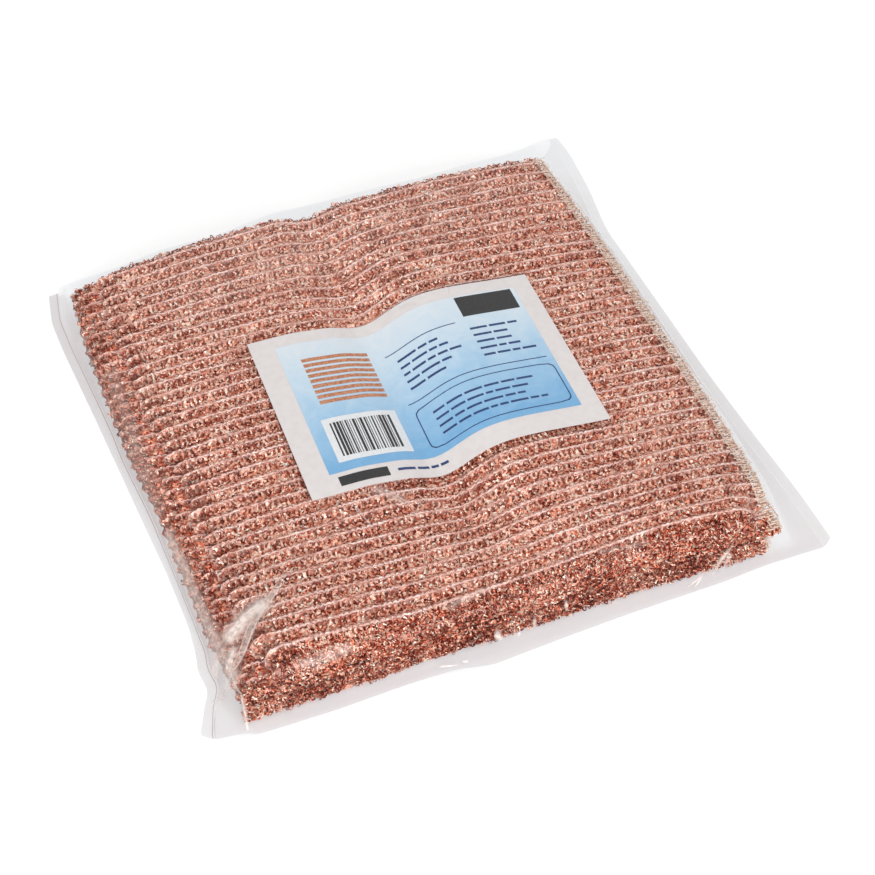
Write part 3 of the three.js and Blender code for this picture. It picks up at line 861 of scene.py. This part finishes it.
    def loops(self, per_cell):
        """Loops of tape over the upper layer and the fold, clear of the ridges."""
        each = int(KNIT_WIDTH / WALE_PITCH * per_cell)
        count = self.ribs * each
        column = np.tile((np.arange(each) + 0.5) / each, self.ribs) * self.folded
        column = column + self.rng.normal(0, LOOP_SCATTER, count)
        column = np.clip(column, SEAM_BARE / self.step, self.folded - 1).astype(int)
        rib_row = np.repeat(np.arange(self.ribs), each) * ROWS_PER_RIB
        at_fold = self.fold[column] > FOLD_START
        place = np.where(at_fold, self.rng.choice(FOLD_LOOP_ROWS, count), self.rng.choice(LOOP_ROWS, count))
        row = self.rows_at(rib_row + place)
        heading = self.rng.normal(np.pi / 2, LOOP_TURN, count)
        length = self.rng.uniform(*LOOP_LENGTH, count)
        return self.arcs(row, column, length, self.rng.uniform(*LOOP_HEIGHT, count), heading)

    def fluff(self, rows, density):
        """Taller loops that stand every way, over the first rows."""
        count = int(KNIT_WIDTH * rows * RIB_PITCH / ROWS_PER_RIB * density)
        column = self.rng.integers(0, self.folded, count)
        row = self.rng.integers(0, rows, count)
        heading = self.rng.uniform(0, 2 * np.pi, count)
        length = self.rng.uniform(*FLUFF_LENGTH, count)
        return self.arcs(row, column, length, self.rng.uniform(*FLUFF_HEIGHT, count), heading)

    def fringe(self, row, outwards):
        """Loose loops that stand out of a raw edge."""
        chosen = self.rng.random(self.columns) < self.step / FRINGE_SPACING
        column = np.tile(np.flatnonzero(chosen), 2)
        count = len(column)
        t = np.linspace(0, 1, TAPE_STEPS)
        bend = np.sin(np.pi * t)
        reach = self.rng.uniform(*FRINGE_REACH, (count, 1))
        wide = self.rng.uniform(*FRINGE_WIDTH, (count, 1)) * self.rng.choice((-1, 1), (count, 1))
        rise = self.rng.normal(0, FRINGE_RISE, (count, 1))
        base = self.points[row, column] + self.rng.normal(0, FRINGE_SCATTER, (count, 3))
        offset = np.stack([wide * (t - 0.5), outwards * reach * bend, rise * bend], axis=-1)
        paths = base[:, None] + offset
        up = unit(self.rng.normal(0, 1, (count, 1, 3)))
        return paths, np.broadcast_to(up, paths.shape)

    def raw_ends(self, rows):
        """Fluff over the first rows, and a fringe at the front and the back."""
        return [self.fluff(rows, FLUFF_DENSITY), self.fringe(0, -1), self.fringe(-1, 1)]

    def tape(self, name, sets, width=TAPE_WIDTH, material=COPPER):
        """Loose tape as one piece, each length of it with a shine of its own."""
        paths = np.concatenate([paths for paths, _ in sets])
        paths[..., 2] = np.maximum(paths[..., 2], 0)
        up = np.concatenate([up for _, up in sets])
        each_width = self.rng.uniform(*TAPE_SPREAD, (len(paths), 1)) * width
        points, faces = strands(paths, each_width, TAPE_THICKNESS, up)
        made = new_object(name, points, faces, material)
        # Some lengths are pushed into the palest stops, as painted glints
        shine = self.rng.choice(TAPE_SHINE, len(paths))
        point_value(made, "shine", np.repeat(shine, len(points) // len(paths)))
        return made

    def ridges(self, name, skip, first, fold_share):
        """The thread along the top of each rib, scalloped by the stitches and thinner at the fold."""
        rows = self.rows_at(np.arange(first, self.ribs) * ROWS_PER_RIB + CREST_ROW, 1 if self.phase else 0)
        rows = rows[rows < self.rows - 1]
        columns = np.arange(0, self.folded - 1, skip)
        out = self.out[rows][:, columns]
        paths = sum(self.points[rows + k] for k in (-1, 0, 1))[:, columns] / 3
        wave = np.sin(np.pi * paths[..., :1] / WALE_PITCH + np.arange(len(rows))[:, None, None])
        paths = paths + out * (RIDGE_SEAT * RIDGE_RADIUS + RIDGE_SWELL * wave**2)
        phase = WANDER_STEP * np.arange(len(rows))[:, None, None]
        wander = np.sin(paths[..., :1] / WANDER_LENGTH + phase)
        sideways = RIDGE_SCALLOP * (wave**2 - 0.5) + RIDGE_WANDER * wander
        paths = paths + self.ahead[rows][:, columns] * sideways
        thin = 1 - (1 - fold_share) * self.fold[columns]
        width = 2 * RIDGE_RADIUS * (RIDGE_WIDTHS[0] + RIDGE_WIDTHS[1] * wave[..., 0] ** 2) * thin
        paths[..., 2] = np.maximum(paths[..., 2], RIDGE_RADIUS)
        return new_object(name, *strands(paths, width, width, out, sides=4), RIDGE, smooth=True)


def wrapped(outer_x, height, rng):
    """A thread round the right edge at every stitch, in at the top and in again below."""
    count = int(CLOTH_LENGTH / STITCH_PITCH) - 1
    t = np.linspace(0, 1, STITCH_STEPS)
    start = (np.arange(count) + 0.5) * STITCH_PITCH + rng.normal(0, STITCH_SCATTER, count)
    y = start[:, None] + rng.normal(*STITCH_LEAN, (count, 1)) * t
    y = np.clip(y, SEAM_END, CLOTH_LENGTH - SEAM_END)
    inset = rng.uniform(*STITCH_INSET, (count, 1)) + rng.normal(0, STITCH_SKEW, (count, 1)) * t
    x = outer_x - inset * (1 - np.sin(np.pi * t))
    top = height(np.minimum(x, KNIT_WIDTH), y) + STITCH_RADIUS + STITCH_RISE
    z = top * (0.5 + 0.5 * np.cos(np.pi * t)) + rng.normal(0, STITCH_LOOSENESS, (count, 1))
    outwards = np.stack([np.sin(np.pi * t), 0 * t, np.cos(np.pi * t)], axis=-1)
    return np.stack([x, y, z], axis=-1), np.broadcast_to(outwards, (count, len(t), 3))


def chain(outer_x, height):
    """The thread that ties the stitches together along the cloth."""
    y = np.arange(CHAIN_END, CLOTH_LENGTH - CHAIN_END, STITCH_PITCH / CHAIN_STEPS)
    x = outer_x - np.mean(STITCH_INSET) + CHAIN_SWING * np.sin(2 * np.pi * y / STITCH_PITCH)
    z = height(np.minimum(x, KNIT_WIDTH), y) + 2 * STITCH_RISE
    path = np.stack([x, y, z], axis=-1)[None]
    return path, np.broadcast_to(np.array([0.0, 0.0, 1.0]), path.shape)


def fuzz(outer_x, height, rng):
    """Short loose hairs of thread along the edge."""
    t = np.linspace(0, 1, FUZZ_STEPS)
    shape = (FUZZ_COUNT, 1)
    y = rng.uniform(FUZZ_END, CLOTH_LENGTH - FUZZ_END, shape) + rng.normal(0, FUZZ_DRIFT, shape) * t
    y = np.clip(y, SEAM_END, CLOTH_LENGTH - SEAM_END)
    x = outer_x - rng.uniform(*FUZZ_INSET, shape) + rng.uniform(*FUZZ_REACH, shape) * t
    base = height(np.minimum(x, KNIT_WIDTH), y) * rng.uniform(*FUZZ_LEVEL, shape) ** 0.5
    z = base + rng.uniform(*FUZZ_RISE, shape) * np.sin(np.pi * t)
    paths = np.stack([x, y, z], axis=-1)
    return paths, np.broadcast_to(unit(rng.normal(0, 1, (FUZZ_COUNT, 1, 3))), paths.shape)


def overlock(name, height, seed, corner=0.0):
    """The sewn right edge: wrapped stitches, a chain and fuzz."""
    rng = np.random.default_rng(SEED + seed)
    outer_x = CLOTH_WIDTH - STITCH_RADIUS
    sets = (
        (wrapped(outer_x, height, rng), STITCH_RADIUS),
        (chain(outer_x, height), CHAIN_RADIUS),
        (fuzz(outer_x, height, rng), FUZZ_RADIUS),
    )
    parts = []
    for (paths, up), radius in sets:
        place_y = paths[..., 1] + STACK_FRONT
        shift_y = end_bow(paths[..., 0] + TOP_LOW[0], place_y)
        paths = paths + np.stack([right_bow(place_y, corner), shift_y, 0 * place_y], axis=-1)
        paths[..., 2] = np.maximum(paths[..., 2], radius)
        parts.append(strands(paths, 2 * radius, 2 * radius, up))
    return new_object(name, *join(parts), THREAD, smooth=True)


def stray_ends():
    """Dark loose ends that stick out past the right edge of the top cloth."""
    paths = np.array(STRAY_ENDS, dtype=float) - TOP_LOW
    up = np.broadcast_to(np.array([0.0, 0.0, 1.0]), paths.shape)
    points, faces = strands(paths, STRAY_WIDTH, STRAY_WIDTH, up)
    made = new_object("cloth_10_strays", points, faces, COPPER)
    # The ends are coloured all through with the dark tint of the painted hole shade
    point_value(made, "holes_and_shade", np.ones(len(points)))
    return made


def copy_of(obj, name):
    """Another object with the same mesh."""
    return linked(bpy.data.objects.new(name, obj.data))


def put(obj, body, corner=(0, 0, 0)):
    """Places a piece by its corner and lets it ride on a body."""
    obj.location = Vector(corner) * MM
    bpy.context.view_layer.update()
    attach(obj, body)
    return obj


def dress_cloth(body, corner, sheet, loose, edge):
    """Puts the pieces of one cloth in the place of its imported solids."""
    for piece in (sheet, *loose):
        put(piece, body, corner)
    put(edge, body, corner)
    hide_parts(body)
    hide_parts(body + "_overlock")


def make_top_cloth():
    def height(x, y):
        top = curled(top_height(x + TOP_LOW[0], y + STACK_FRONT), y + STACK_FRONT)
        return np.maximum(top - TOP_LOW[2], CLOTH_HEIGHT / 2)

    knit = Knit(height, TOP_FOLD_REACH, TOP_RIB_HEIGHT, TOP_KNUCKLE, TOP_STEP, 10)
    sheet = knit.sheet("cloth_10_knit")
    loops = knit.tape("cloth_10_loops", [knit.loops(TOP_LOOPS)])
    fringe = knit.tape("cloth_10_fringe", knit.raw_ends(FLUFF_ROWS), FLUFF_WIDTH, SHADED_LOOSE_COPPER)
    ridges = knit.ridges("cloth_10_ridges", 1, 1, TOP_THIN)
    edge = overlock("cloth_10_stitching", height, STITCH_SEED)
    dress_cloth("cloth_10", TOP_LOW, sheet, (loops, fringe, ridges, stray_ends()), edge)


def flat_height(x, y):
    return np.full_like(x, CLOTH_HEIGHT)


def lower_pattern(knit, seed, fold_share, skip, corner):
    """The pieces of one flat cloth, to be copied into the stack."""
    tag = f"lower_{seed}_"
    sheet = knit.sheet(tag + "knit", SHADED_LOOSE_COPPER)
    ends = knit.raw_ends(LOWER_FLUFF_ROWS)
    loops = knit.tape(tag + "loops", [knit.loops(LOWER_LOOPS), *ends], FLUFF_WIDTH, SHADED_LOOSE_COPPER)
    ridges = knit.ridges(tag + "ridges", skip, 0, fold_share)
    edge = overlock(tag + "stitching", flat_height, STITCH_SEED + seed, corner)
    return sheet, loops, ridges, edge


def make_lower_cloths():
    """Nine flat cloths from four knits: one starts further in at the front, one has a fold that shows."""
    patterns = []
    flat = (flat_height, LOWER_FOLD_REACH, LOWER_RIB_HEIGHT, LOWER_KNUCKLE, LOWER_STEP)
    for seed, inset, phase, corner in zip((1, 2, 3), (0.0, RECESS, 0.0), LOWER_PHASES, LOWER_CORNERS):
        knit = Knit(*flat, seed, inset, phase, corner=corner)
        patterns.append(lower_pattern(knit, seed, LOWER_THIN, 2, corner))
    loose = (flat_height, SECOND_FOLD_REACH, SECOND_RIB_HEIGHT, SECOND_KNUCKLE, SECOND_STEP)
    second = Knit(*loose, 4, 0.0, SECOND_PHASE, SECOND_FOLD_IN, LOWER_CORNERS[3])
    patterns.append(lower_pattern(second, 4, SECOND_THIN, 1, LOWER_CORNERS[3]))
    for index in LOWER_CLOTHS:
        body = f"cloth_{index:02d}"
        kind = 3 if index == LOWER_CLOTHS[-1] else 1 if index in RECESSED_CLOTHS else 2 * (index % 2)
        names = [f"{body}_{word}" for word in ("knit", "loops", "ridges", "stitching")]
        sheet, loops, ridges, edge = [copy_of(obj, name) for obj, name in zip(patterns[kind], names)]
        dress_cloth(body, box_mm(body)[0], sheet, (loops, ridges), edge)
    for pattern in patterns:
        for obj in pattern:
            bpy.data.objects.remove(obj)


# Film


def film_top(x, y):
    """Height of the upper film where it lies on the stack, with the same gap on the slopes."""
    straight = x - side_shift(x - TOP_LOW[0], y)
    slope = (top_height(straight + 1, y) - top_height(straight - 1, y)) / 2
    return top_height(straight, y) + FILM_LIFT * np.sqrt(1 + slope**2)


def film_left(y):
    """Inner edge of the left weld, which is narrow where the stack lies close to it."""
    edge = along(LEFT_EDGE, y, LEFT_SOFT)
    room = STACK_LEFT + left_skew(y) - WELD_ROOM - edge
    return edge + np.clip(room, WELD_LEAST, WELD_WIDTH)


def film_right(y):
    """Inner edge of the right weld."""
    return along(RIGHT_EDGE, y, RIGHT_SOFT) - WELD_WIDTH


def film_front(x):
    return along(FRONT_EDGE, x, FRONT_SOFT)


def foot(places, start, wall):
    """Rises from nothing at the start to the first share of a wall."""
    return wall[0][1] * np.clip((places - start) / np.maximum(wall[0][0] - start, 0.1), 0, 1)


def wall_share(x, y):
    """0 where the film lies on the table, 1 where it lies on the stack."""
    stack = STACK_LEFT + left_skew(y)
    inwards = x - stack
    start = np.maximum(film_left(y) + WELD_CLEAR - stack, -WALL_FOOT - 1)
    left = np.where(inwards < LEFT_WALL[0][0], foot(inwards, start, LEFT_WALL), along(LEFT_WALL, inwards))
    right = along(RIGHT_WALL, SEAM_HIGH[0] + right_bow(y) - x, RIGHT_WALL_SOFT)
    right = right * smooth_step(0, WELD_FOOT, film_right(y) - x)
    edge = STACK_FRONT + front_bow(x)
    behind = y - edge
    start = np.maximum(film_front(x) + FRONT_CLEAR - edge, -2 * WALL_FOOT)
    front = np.where(behind < FRONT_WALL[0][0], foot(behind, start, FRONT_WALL), along(FRONT_WALL, behind))
    return np.minimum(left, right) * front


def film_height(x, y):
    """Height of the upper film without its creases."""
    inner_x = np.clip(x, TOP_LOW[0], SEAM_HIGH[0])
    inner_y = np.clip(y, STACK_FRONT + CURL_LENGTH * CURL_COVER, None)
    return FLANGE_HEIGHT + (film_top(inner_x, inner_y) - FLANGE_HEIGHT) * wall_share(x, y)


def line_distance(x, y, points):
    """Distance from places to a line through a few points."""
    nearest = np.full(x.shape, np.inf)
    for (ax, ay), (bx, by) in zip(points[:-1], points[1:]):
        run = (bx - ax) ** 2 + (by - ay) ** 2
        t = np.clip(((x - ax) * (bx - ax) + (y - ay) * (by - ay)) / run, 0, 1)
        nearest = np.minimum(nearest, np.hypot(x - ax - t * (bx - ax), y - ay - t * (by - ay)))
    return nearest


def ripple(x, y, wavelength, rng):
    """Soft waves that run in several directions."""
    total = np.zeros_like(x)
    for _ in range(RIPPLES):
        angle, phase = rng.uniform(0, np.pi), rng.uniform(0, 2 * np.pi)
        length = wavelength * rng.uniform(*RIPPLE_SPREAD)
        total += np.sin(2 * np.pi * (x * np.cos(angle) + y * np.sin(angle)) / length + phase)
    return total / math.sqrt(RIPPLES)


def fine_creases(rng):
    """Short faint creases at random places on the top."""
    found = []
    for _ in range(FINE_CREASES):
        x, y = rng.uniform(*FINE_CREASE_X), rng.uniform(*FINE_CREASE_Y)
        angle, length = rng.normal(*FINE_CREASE_ANGLE), rng.uniform(*FINE_CREASE_LENGTH)
        end = (x + length * np.cos(angle), y + length * np.sin(angle))
        sizes = [rng.uniform(*ends) for ends in (FINE_CREASE_HALF, FINE_CREASE_LIFT, FINE_CREASE_MILK)]
        found.append((((x, y), end), *sizes))
    return found


def edge_grid(across, ahead):
    """Places on the film from shares across it, in five zones, and ahead, in three zones."""
    guess = np.interp(across, range(len(FILM_MARKS)), FILM_MARKS)
    front, lip = film_front(guess), along(LIP_EDGE, guess, LIP_SOFT)
    foot_y = np.maximum(front + FRONT_CLEAR, STACK_FRONT - WALL_FOOT)
    top_y = STACK_FRONT + front_bow(guess) + FRONT_WALL[-1][0]
    stops = np.stack([front, foot_y, top_y, lip])
    y = np.stack([np.interp(ahead, range(4), stop) for stop in stops.T], axis=1)
    left, right = film_left(y), film_right(y)
    stack, seam = STACK_LEFT + left_skew(y), SEAM_HIGH[0] + right_bow(y)
    marks = np.stack([
        left,
        np.maximum(left + WELD_CLEAR, stack - WALL_FOOT - 1),
        stack + LEFT_WALL[-1][0],
        seam - RIGHT_WALL[-1][0],
        np.minimum(seam - RIGHT_WALL[0][0], right - WELD_CLEAR),
        right,
    ])
    zone = np.clip(np.floor(across).astype(int), 0, 4)
    share = across - zone
    columns = np.arange(len(across))
    low = marks[zone, :, columns].T
    high = marks[zone + 1, :, columns].T
    return low + (high - low) * share, y


def zone_steps(*counts):
    """Shares that step through zones 0, 1, 2 and so on with a count of steps in each."""
    parts = [k + np.arange(count) / count for k, count in enumerate(counts)]
    return np.concatenate([*parts, [len(counts)]])


def strip(points, half_width, milk_and_glint, section):
    """A strip along a line on the upper film, narrow at its ends, and its milkiness, which paints a
    highlight.
    """
    points = np.array(points, dtype=float)
    run = np.concatenate([[0], np.cumsum(np.hypot(*np.diff(points, axis=0).T))])
    t = np.linspace(0, 1, max(STRIP_STEPS, int(run[-1])))
    soft = STRIP_SOFT * run[-1]
    path = np.stack([along(list(zip(run, points[:, k])), t * run[-1], soft) for k in (0, 1)], -1)
    ahead = unit(np.gradient(path, axis=0))
    side = np.stack([ahead[:, 1], -ahead[:, 0]], -1)
    across, haze_and_glint = np.array(section, dtype=float).T
    taper = np.sqrt(np.sin(np.pi * np.clip(t, *STRIP_ENDS)))[:, None]
    place = path[:, None] + side[:, None] * (half_width * taper * across)[..., None]
    z = film_height(place[..., 0], place[..., 1]) + CREASE_LIFT
    return (np.concatenate([place, z[..., None]], -1), grid_faces(*z.shape)), (milk_and_glint * taper * haze_and_glint).ravel()


def make_creases():
    """The pleat and the sharp creases of the upper film, whose milk is painted highlight."""
    strips = [strip(PLEAT, PLEAT_HALF, 1.0, PLEAT_SECTION)]
    strips += [strip(*crease, SHARP_SECTION) for crease in SHARP_CREASES]
    made = new_object("film_upper_creases", *join([mesh for mesh, _ in strips]), FILM, smooth=True)
    point_value(made, "haze_and_glint", np.concatenate([haze_and_glint for _, haze_and_glint in strips]))
    return put(made, "bag")


def painted_margin_shade(x, y, share):
    """How dark the upper film is painted where it lies flat beside the stack, from 0 to 1: painted shade,
    tinted pink as a painted reflection of the copper.
    """
    at_left = smooth_step(*LEFT_SHADE_X, x) * smooth_step(*LEFT_SHADE_Y, y)
    at_right = smooth_step(*RIGHT_SHADE_X, x)
    shade = 1 + LEFT_SHADE * at_left + BACK_SHADE * smooth_step(*BACK_SHADE_Y, y)
    shade += FRONT_SHADE * smooth_step(*FRONT_SHADE_Y, y) + RIGHT_SHADE * at_right
    fade = MARGIN_FADE + (RIGHT_FADE - MARGIN_FADE) * at_right
    return PAINTED_MARGIN_SHADE * shade * (1 - smooth_step(0, fade, share))


def make_upper_film():
    """One sheet from weld to weld and from the front fold to the lip."""
    rng = np.random.default_rng(SEED + FILM_SEED)
    x, y = edge_grid(zone_steps(*FILM_COLUMNS), zone_steps(*FILM_ROWS))
    share = wall_share(x, y)
    z = film_height(x, y)
    long_ripple, short_ripple = [ripple(x, y, length, rng) for length in RIPPLE_LENGTHS]
    z += share * RIPPLE_HEIGHT * (long_ripple + SHORT_RIPPLE * short_ripple)
    # Milk along creases, partly painted highlight
    haze_and_glint = np.zeros_like(x)
    for points, half_width, lift, milk_and_glint in (*CREASES, *fine_creases(rng)):
        near = np.exp(-((line_distance(x, y, points) / half_width) ** 2))
        z += lift * near
        haze_and_glint = np.maximum(haze_and_glint, milk_and_glint * near)
    made = new_object("film_upper_sheet", np.stack([x, y, z], -1), grid_faces(*x.shape), FILM, smooth=True)
    point_value(made, "haze_and_glint", haze_and_glint)
    # Painted shade of the flat margins, tinted pink as a painted reflection of the copper
    point_value(made, "line", painted_margin_shade(x, y, share))
    put(made, "bag")
    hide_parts("film_upper", "film_front_fold")
    make_creases()


def make_lower_film():
    """The flat film under the stack, which reaches further back than the upper one."""
    across = np.linspace(0, 1, LOWER_FILM_COLUMNS)
    ahead = np.linspace(0, 1, LOWER_FILM_ROWS)
    guess = np.interp(across, (0, 1), FLAT_FILM_SIDES)
    front, back = film_front(guess), along(BACK_EDGE, guess, BACK_SOFT)
    y = front + (back - front) * ahead[:, None]
    left, right = film_left(y), film_right(y)
    x = left + (right - left) * across
    wave = 1 + np.sin(x / LIP_WAVE_LENGTHS[0] + y / LIP_WAVE_LENGTHS[1])
    points = np.stack([x, y, LOWER_FILM_HEIGHT + LIP_WAVE * (smooth_step(*LIP_WAVE_Y, y) * wave)], -1)
    made = new_object("film_lower_sheet", points, grid_faces(*x.shape), FLAT_FILM, smooth=True)
    put(made, "bag")
    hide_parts("film_lower")


def make_weld(side, edge, inner, inwards, back, line, shades):
    """Both films fused along one side, with painted shade from front to back, and a thin line where line is
    1.
    """
    section = np.array(WELD_SECTION)
    front = film_front(edge[0][1] + inwards * WELD_WIDTH / 2)
    y = np.linspace(front, back, WELD_ROWS)
    outer_x = along(edge, y, LEFT_SOFT if inwards > 0 else RIGHT_SOFT)
    width = np.abs(inner(y) - outer_x)
    x = outer_x[:, None] + inwards * width[:, None] * section[:, 0] / WELD_WIDTH
    rounding = film_front(x) - front
    shift = rounding * smooth_step(front + WELD_ROUNDING, front, y)[:, None]
    ring = np.stack([x, y[:, None] + shift, np.broadcast_to(section[:, 1], x.shape)], -1)
    faces = tube_faces(WELD_ROWS, len(section))[:, ::inwards]
    made = new_object(f"weld_{side}_strip", ring, faces, WELD_FILM)
    pressed = line * np.tile(section[:, 0] == WELD_LINE, WELD_ROWS)
    # Painted shade, changing from front to back, tinted pink as a painted reflection of the copper
    shade = shades[0] + (shades[1] - shades[0]) * smooth_step(*WELD_SHADE_Y, y)
    point_value(made, "line", np.maximum(pressed, np.repeat(shade, len(section))))
    put(made, "bag")
    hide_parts(f"weld_{side}")


# Label


LABEL_LOW, LABEL_HIGH = box_mm("label")


def label_surface(u, v):
    """A point of the label's face from its place on the flat label."""
    x = LABEL_LOW[0] + LABEL_SHIFT[0] + np.asarray(u, dtype=float)
    middle = (LABEL_HIGH[0] - LABEL_LOW[0]) / 2
    y = LABEL_LOW[1] + LABEL_SHIFT[1] + np.asarray(v, dtype=float) - LABEL_SKEW * (u - middle)
    return np.stack([x, y, film_top(x, y) + LABEL_LIFT], -1)


def make_label():
    size = LABEL_HIGH - LABEL_LOW
    columns, rows = LABEL_GRID
    u, v = np.meshgrid(np.linspace(0, size[0], columns), np.linspace(0, size[1], rows))
    paper = mottled("label_paper", PAPER_TONES, 300.0, 3.0, PAPER_ROUGHNESS)
    made = new_object("label_sheet", label_surface(u, v), grid_faces(*u.shape), paper, smooth=True)
    put(made, "bag")
    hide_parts("label")


def patch(left, low, right, high, layer=2):
    """A printed rectangle that follows the label, on a layer of print counted from the paper."""
    u, v = np.meshgrid(
        np.linspace(left, right, max(2, int((right - left) / PATCH_STEP[0]) + 2)),
        np.linspace(low, high, max(2, int((high - low) / PATCH_STEP[1]) + 2)),
    )
    points = label_surface(u, v)
    points[..., 2] += layer * PRINT_LIFT
    return points.reshape(-1, 3), grid_faces(*u.shape)


def ring_print(u, v, radius_u, radius_v, width, power):
    """A printed outline of a rectangle, with corners that are less round at a higher power."""
    turn = np.linspace(0, 2 * np.pi, RING_STEPS + 1)[:-1]
    reach = (np.abs(np.cos(turn)) ** power + np.abs(np.sin(turn)) ** power) ** (-1 / power)
    rings = []
    for grow in (0, width):
        ring_u = u + (radius_u - grow) * reach * np.cos(turn)
        ring_v = v + (radius_v - grow) * reach * np.sin(turn)
        rings.append(label_surface(ring_u, ring_v) + np.array([0, 0, 2 * PRINT_LIFT]))
    a = np.arange(RING_STEPS)
    b = (a + 1) % RING_STEPS
    return np.concatenate(rings), np.stack([a, b, b + RING_STEPS, a + RING_STEPS], axis=1)


def print_piece(name, parts, material):
    put(new_object(name, *join(parts), material, smooth=True), "bag")


def greeked(left, right, high, rows, pitch, height, seed):
    """Bars in place of lines of print."""
    rng = np.random.default_rng(SEED + seed)
    bars = []
    for k in range(rows):
        low = high - k * pitch
        u = left
        end = left + (right - left) * rng.uniform(*ROW_SHARE)
        while u < end - WORD_LENGTH[0]:
            word = rng.uniform(*WORD_LENGTH)
            bars.append(patch(u, low, min(u + word, end), low + height))
            u += word + WORD_GAP
    return bars


def striped(left, low, right, high):
    """Upright stripes of a few widths."""
    rng = np.random.default_rng(SEED + STRIPE_SEED)
    stripes = []
    u = left
    while u < right:
        thick = rng.choice(STRIPE_WIDTHS)
        stripes.append(patch(u, low, u + thick, high, 3))
        u += thick + rng.choice(STRIPE_GAPS)
    return stripes


def make_print():
    """A plain generic design: a blue panel, dark bars, a ribbed patch, bars for text and a striped block."""
    size = LABEL_HIGH - LABEL_LOW
    low_v, high_v = LABEL_BORDER, size[1] - PANEL_TOP
    panel = panel_material(LABEL_LOW[1] + low_v, LABEL_LOW[1] + high_v)
    print_piece("label_panel", [patch(LABEL_BORDER, low_v, size[0] - PANEL_RIGHT, high_v, 1)], panel)
    navy, black, white, copper = [mottled(*ink, 900.0, 2.0, INK_ROUGHNESS) for ink in INKS]
    lines = [bar for seed, block in enumerate(TEXT_BLOCKS, 1) for bar in greeked(*block, seed)]
    lines += [patch(*rule) for rule in TEXT_RULES]
    lines.append(ring_print(*TEXT_FRAME))
    print_piece("label_lines", lines, navy)
    print_piece("label_bars", [patch(*bar) for bar in DARK_BARS], black)
    left, low, right, high = FIRST_RIB
    shifts = [PRINT_RIB_PITCH * k for k in range(PRINT_RIBS)]
    print_piece("label_ribs", [patch(left, low + up, right, high + up) for up in shifts], copper)
    print_piece("label_white", [patch(*WHITE_BLOCK)], white)
    print_piece("label_stripes", striped(*STRIPE_BLOCK), black)


# Stage, light and camera


def seen_directly(tree):
    """1 for rays from the eye, off gloss and through clear things, 0 for those that only light."""
    path = add_node(tree, "ShaderNodeLightPath")
    seen = maths(tree, "MAXIMUM", path.outputs["Is Camera Ray"], path.outputs["Is Glossy Ray"])
    return maths(tree, "MAXIMUM", seen, path.outputs["Is Transmission Ray"])


def white_behind(tree, lit):
    """Adds a glow that only the eye, gloss and see-through rays meet, so that the ground looks white.

    It grows away from the object, where the lamps give out.
    """
    reach = vector_maths(tree, "LENGTH", own_place(tree)).outputs["Value"]
    strength = map_range(tree, reach, GLOW_REACH, FLOOR_GLOW)
    glow = add_node(
        tree,
        "ShaderNodeEmission",
        {"Color": (1, 1, 1, 1), "Strength": maths(tree, "MULTIPLY", seen_directly(tree), strength)},
    )
    return add_node(tree, "ShaderNodeAddShader", {0: lit, 1: glow.outputs[0]}).outputs[0]


def make_floor():
    half = FLOOR_HALF
    corners = [(-half, -half, 0), (half, -half, 0), (half, half, 0), (-half, half, 0)]
    material, tree = new_material("pale_floor")
    floor = new_object("floor", corners, [[0, 1, 2, 3]], material)
    lit = add_node(tree, "ShaderNodeBsdfDiffuse", {"Color": FLOOR_TONE})
    output(tree, white_behind(tree, lit.outputs[0]))


def make_world():
    world = bpy.data.worlds.new("studio")
    bpy.context.scene.world = world
    world.use_nodes = True
    tree = world.node_tree
    tree.nodes.clear()
    strength = map_range(tree, seen_directly(tree), (0.0, 1.0), WORLD_GLOW)
    background = add_node(tree, "ShaderNodeBackground", {"Color": (1, 1, 1, 1), "Strength": strength})
    add_node(tree, "ShaderNodeOutputWorld", {"Surface": background.outputs[0]})


def make_lamp(name, place, size, power):
    lamp = bpy.data.lights.new(name, "AREA")
    lamp.size = size
    lamp.energy = power
    made = linked(bpy.data.objects.new(name, lamp))
    made.location = place
    made.rotation_euler = (-Vector(place)).to_track_quat("-Z", "Y").to_euler()


def make_camera():
    data = bpy.data.cameras.new("camera")
    data.sensor_width = SENSOR_WIDTH
    data.lens = CAMERA_LENS
    made = linked(bpy.data.objects.new("camera", data))
    a, e = math.radians(CAMERA_AZIMUTH), math.radians(CAMERA_ELEVATION)
    back = Vector((math.sin(a) * math.cos(e), -math.cos(a) * math.cos(e), math.sin(e)))
    made.location = (Vector(CAMERA_TARGET) + back * CAMERA_DISTANCE) * MM
    made.rotation_euler = (-back).to_track_quat("-Z", "Y").to_euler()
    bpy.context.scene.camera = made


make_camera()
make_top_cloth()
make_lower_cloths()
make_upper_film()
make_lower_film()
make_weld("left", LEFT_EDGE, film_left, 1, LEFT_WELD_BACK, 1, LEFT_WELD_SHADES)
make_weld("right", RIGHT_EDGE, film_right, -1, RIGHT_WELD_BACK, 0, RIGHT_WELD_SHADES)
make_label()
make_print()
make_floor()
make_world()
for lamp in LAMPS:
    make_lamp(*lamp)
bpy.context.scene.view_settings.view_transform = "Standard"
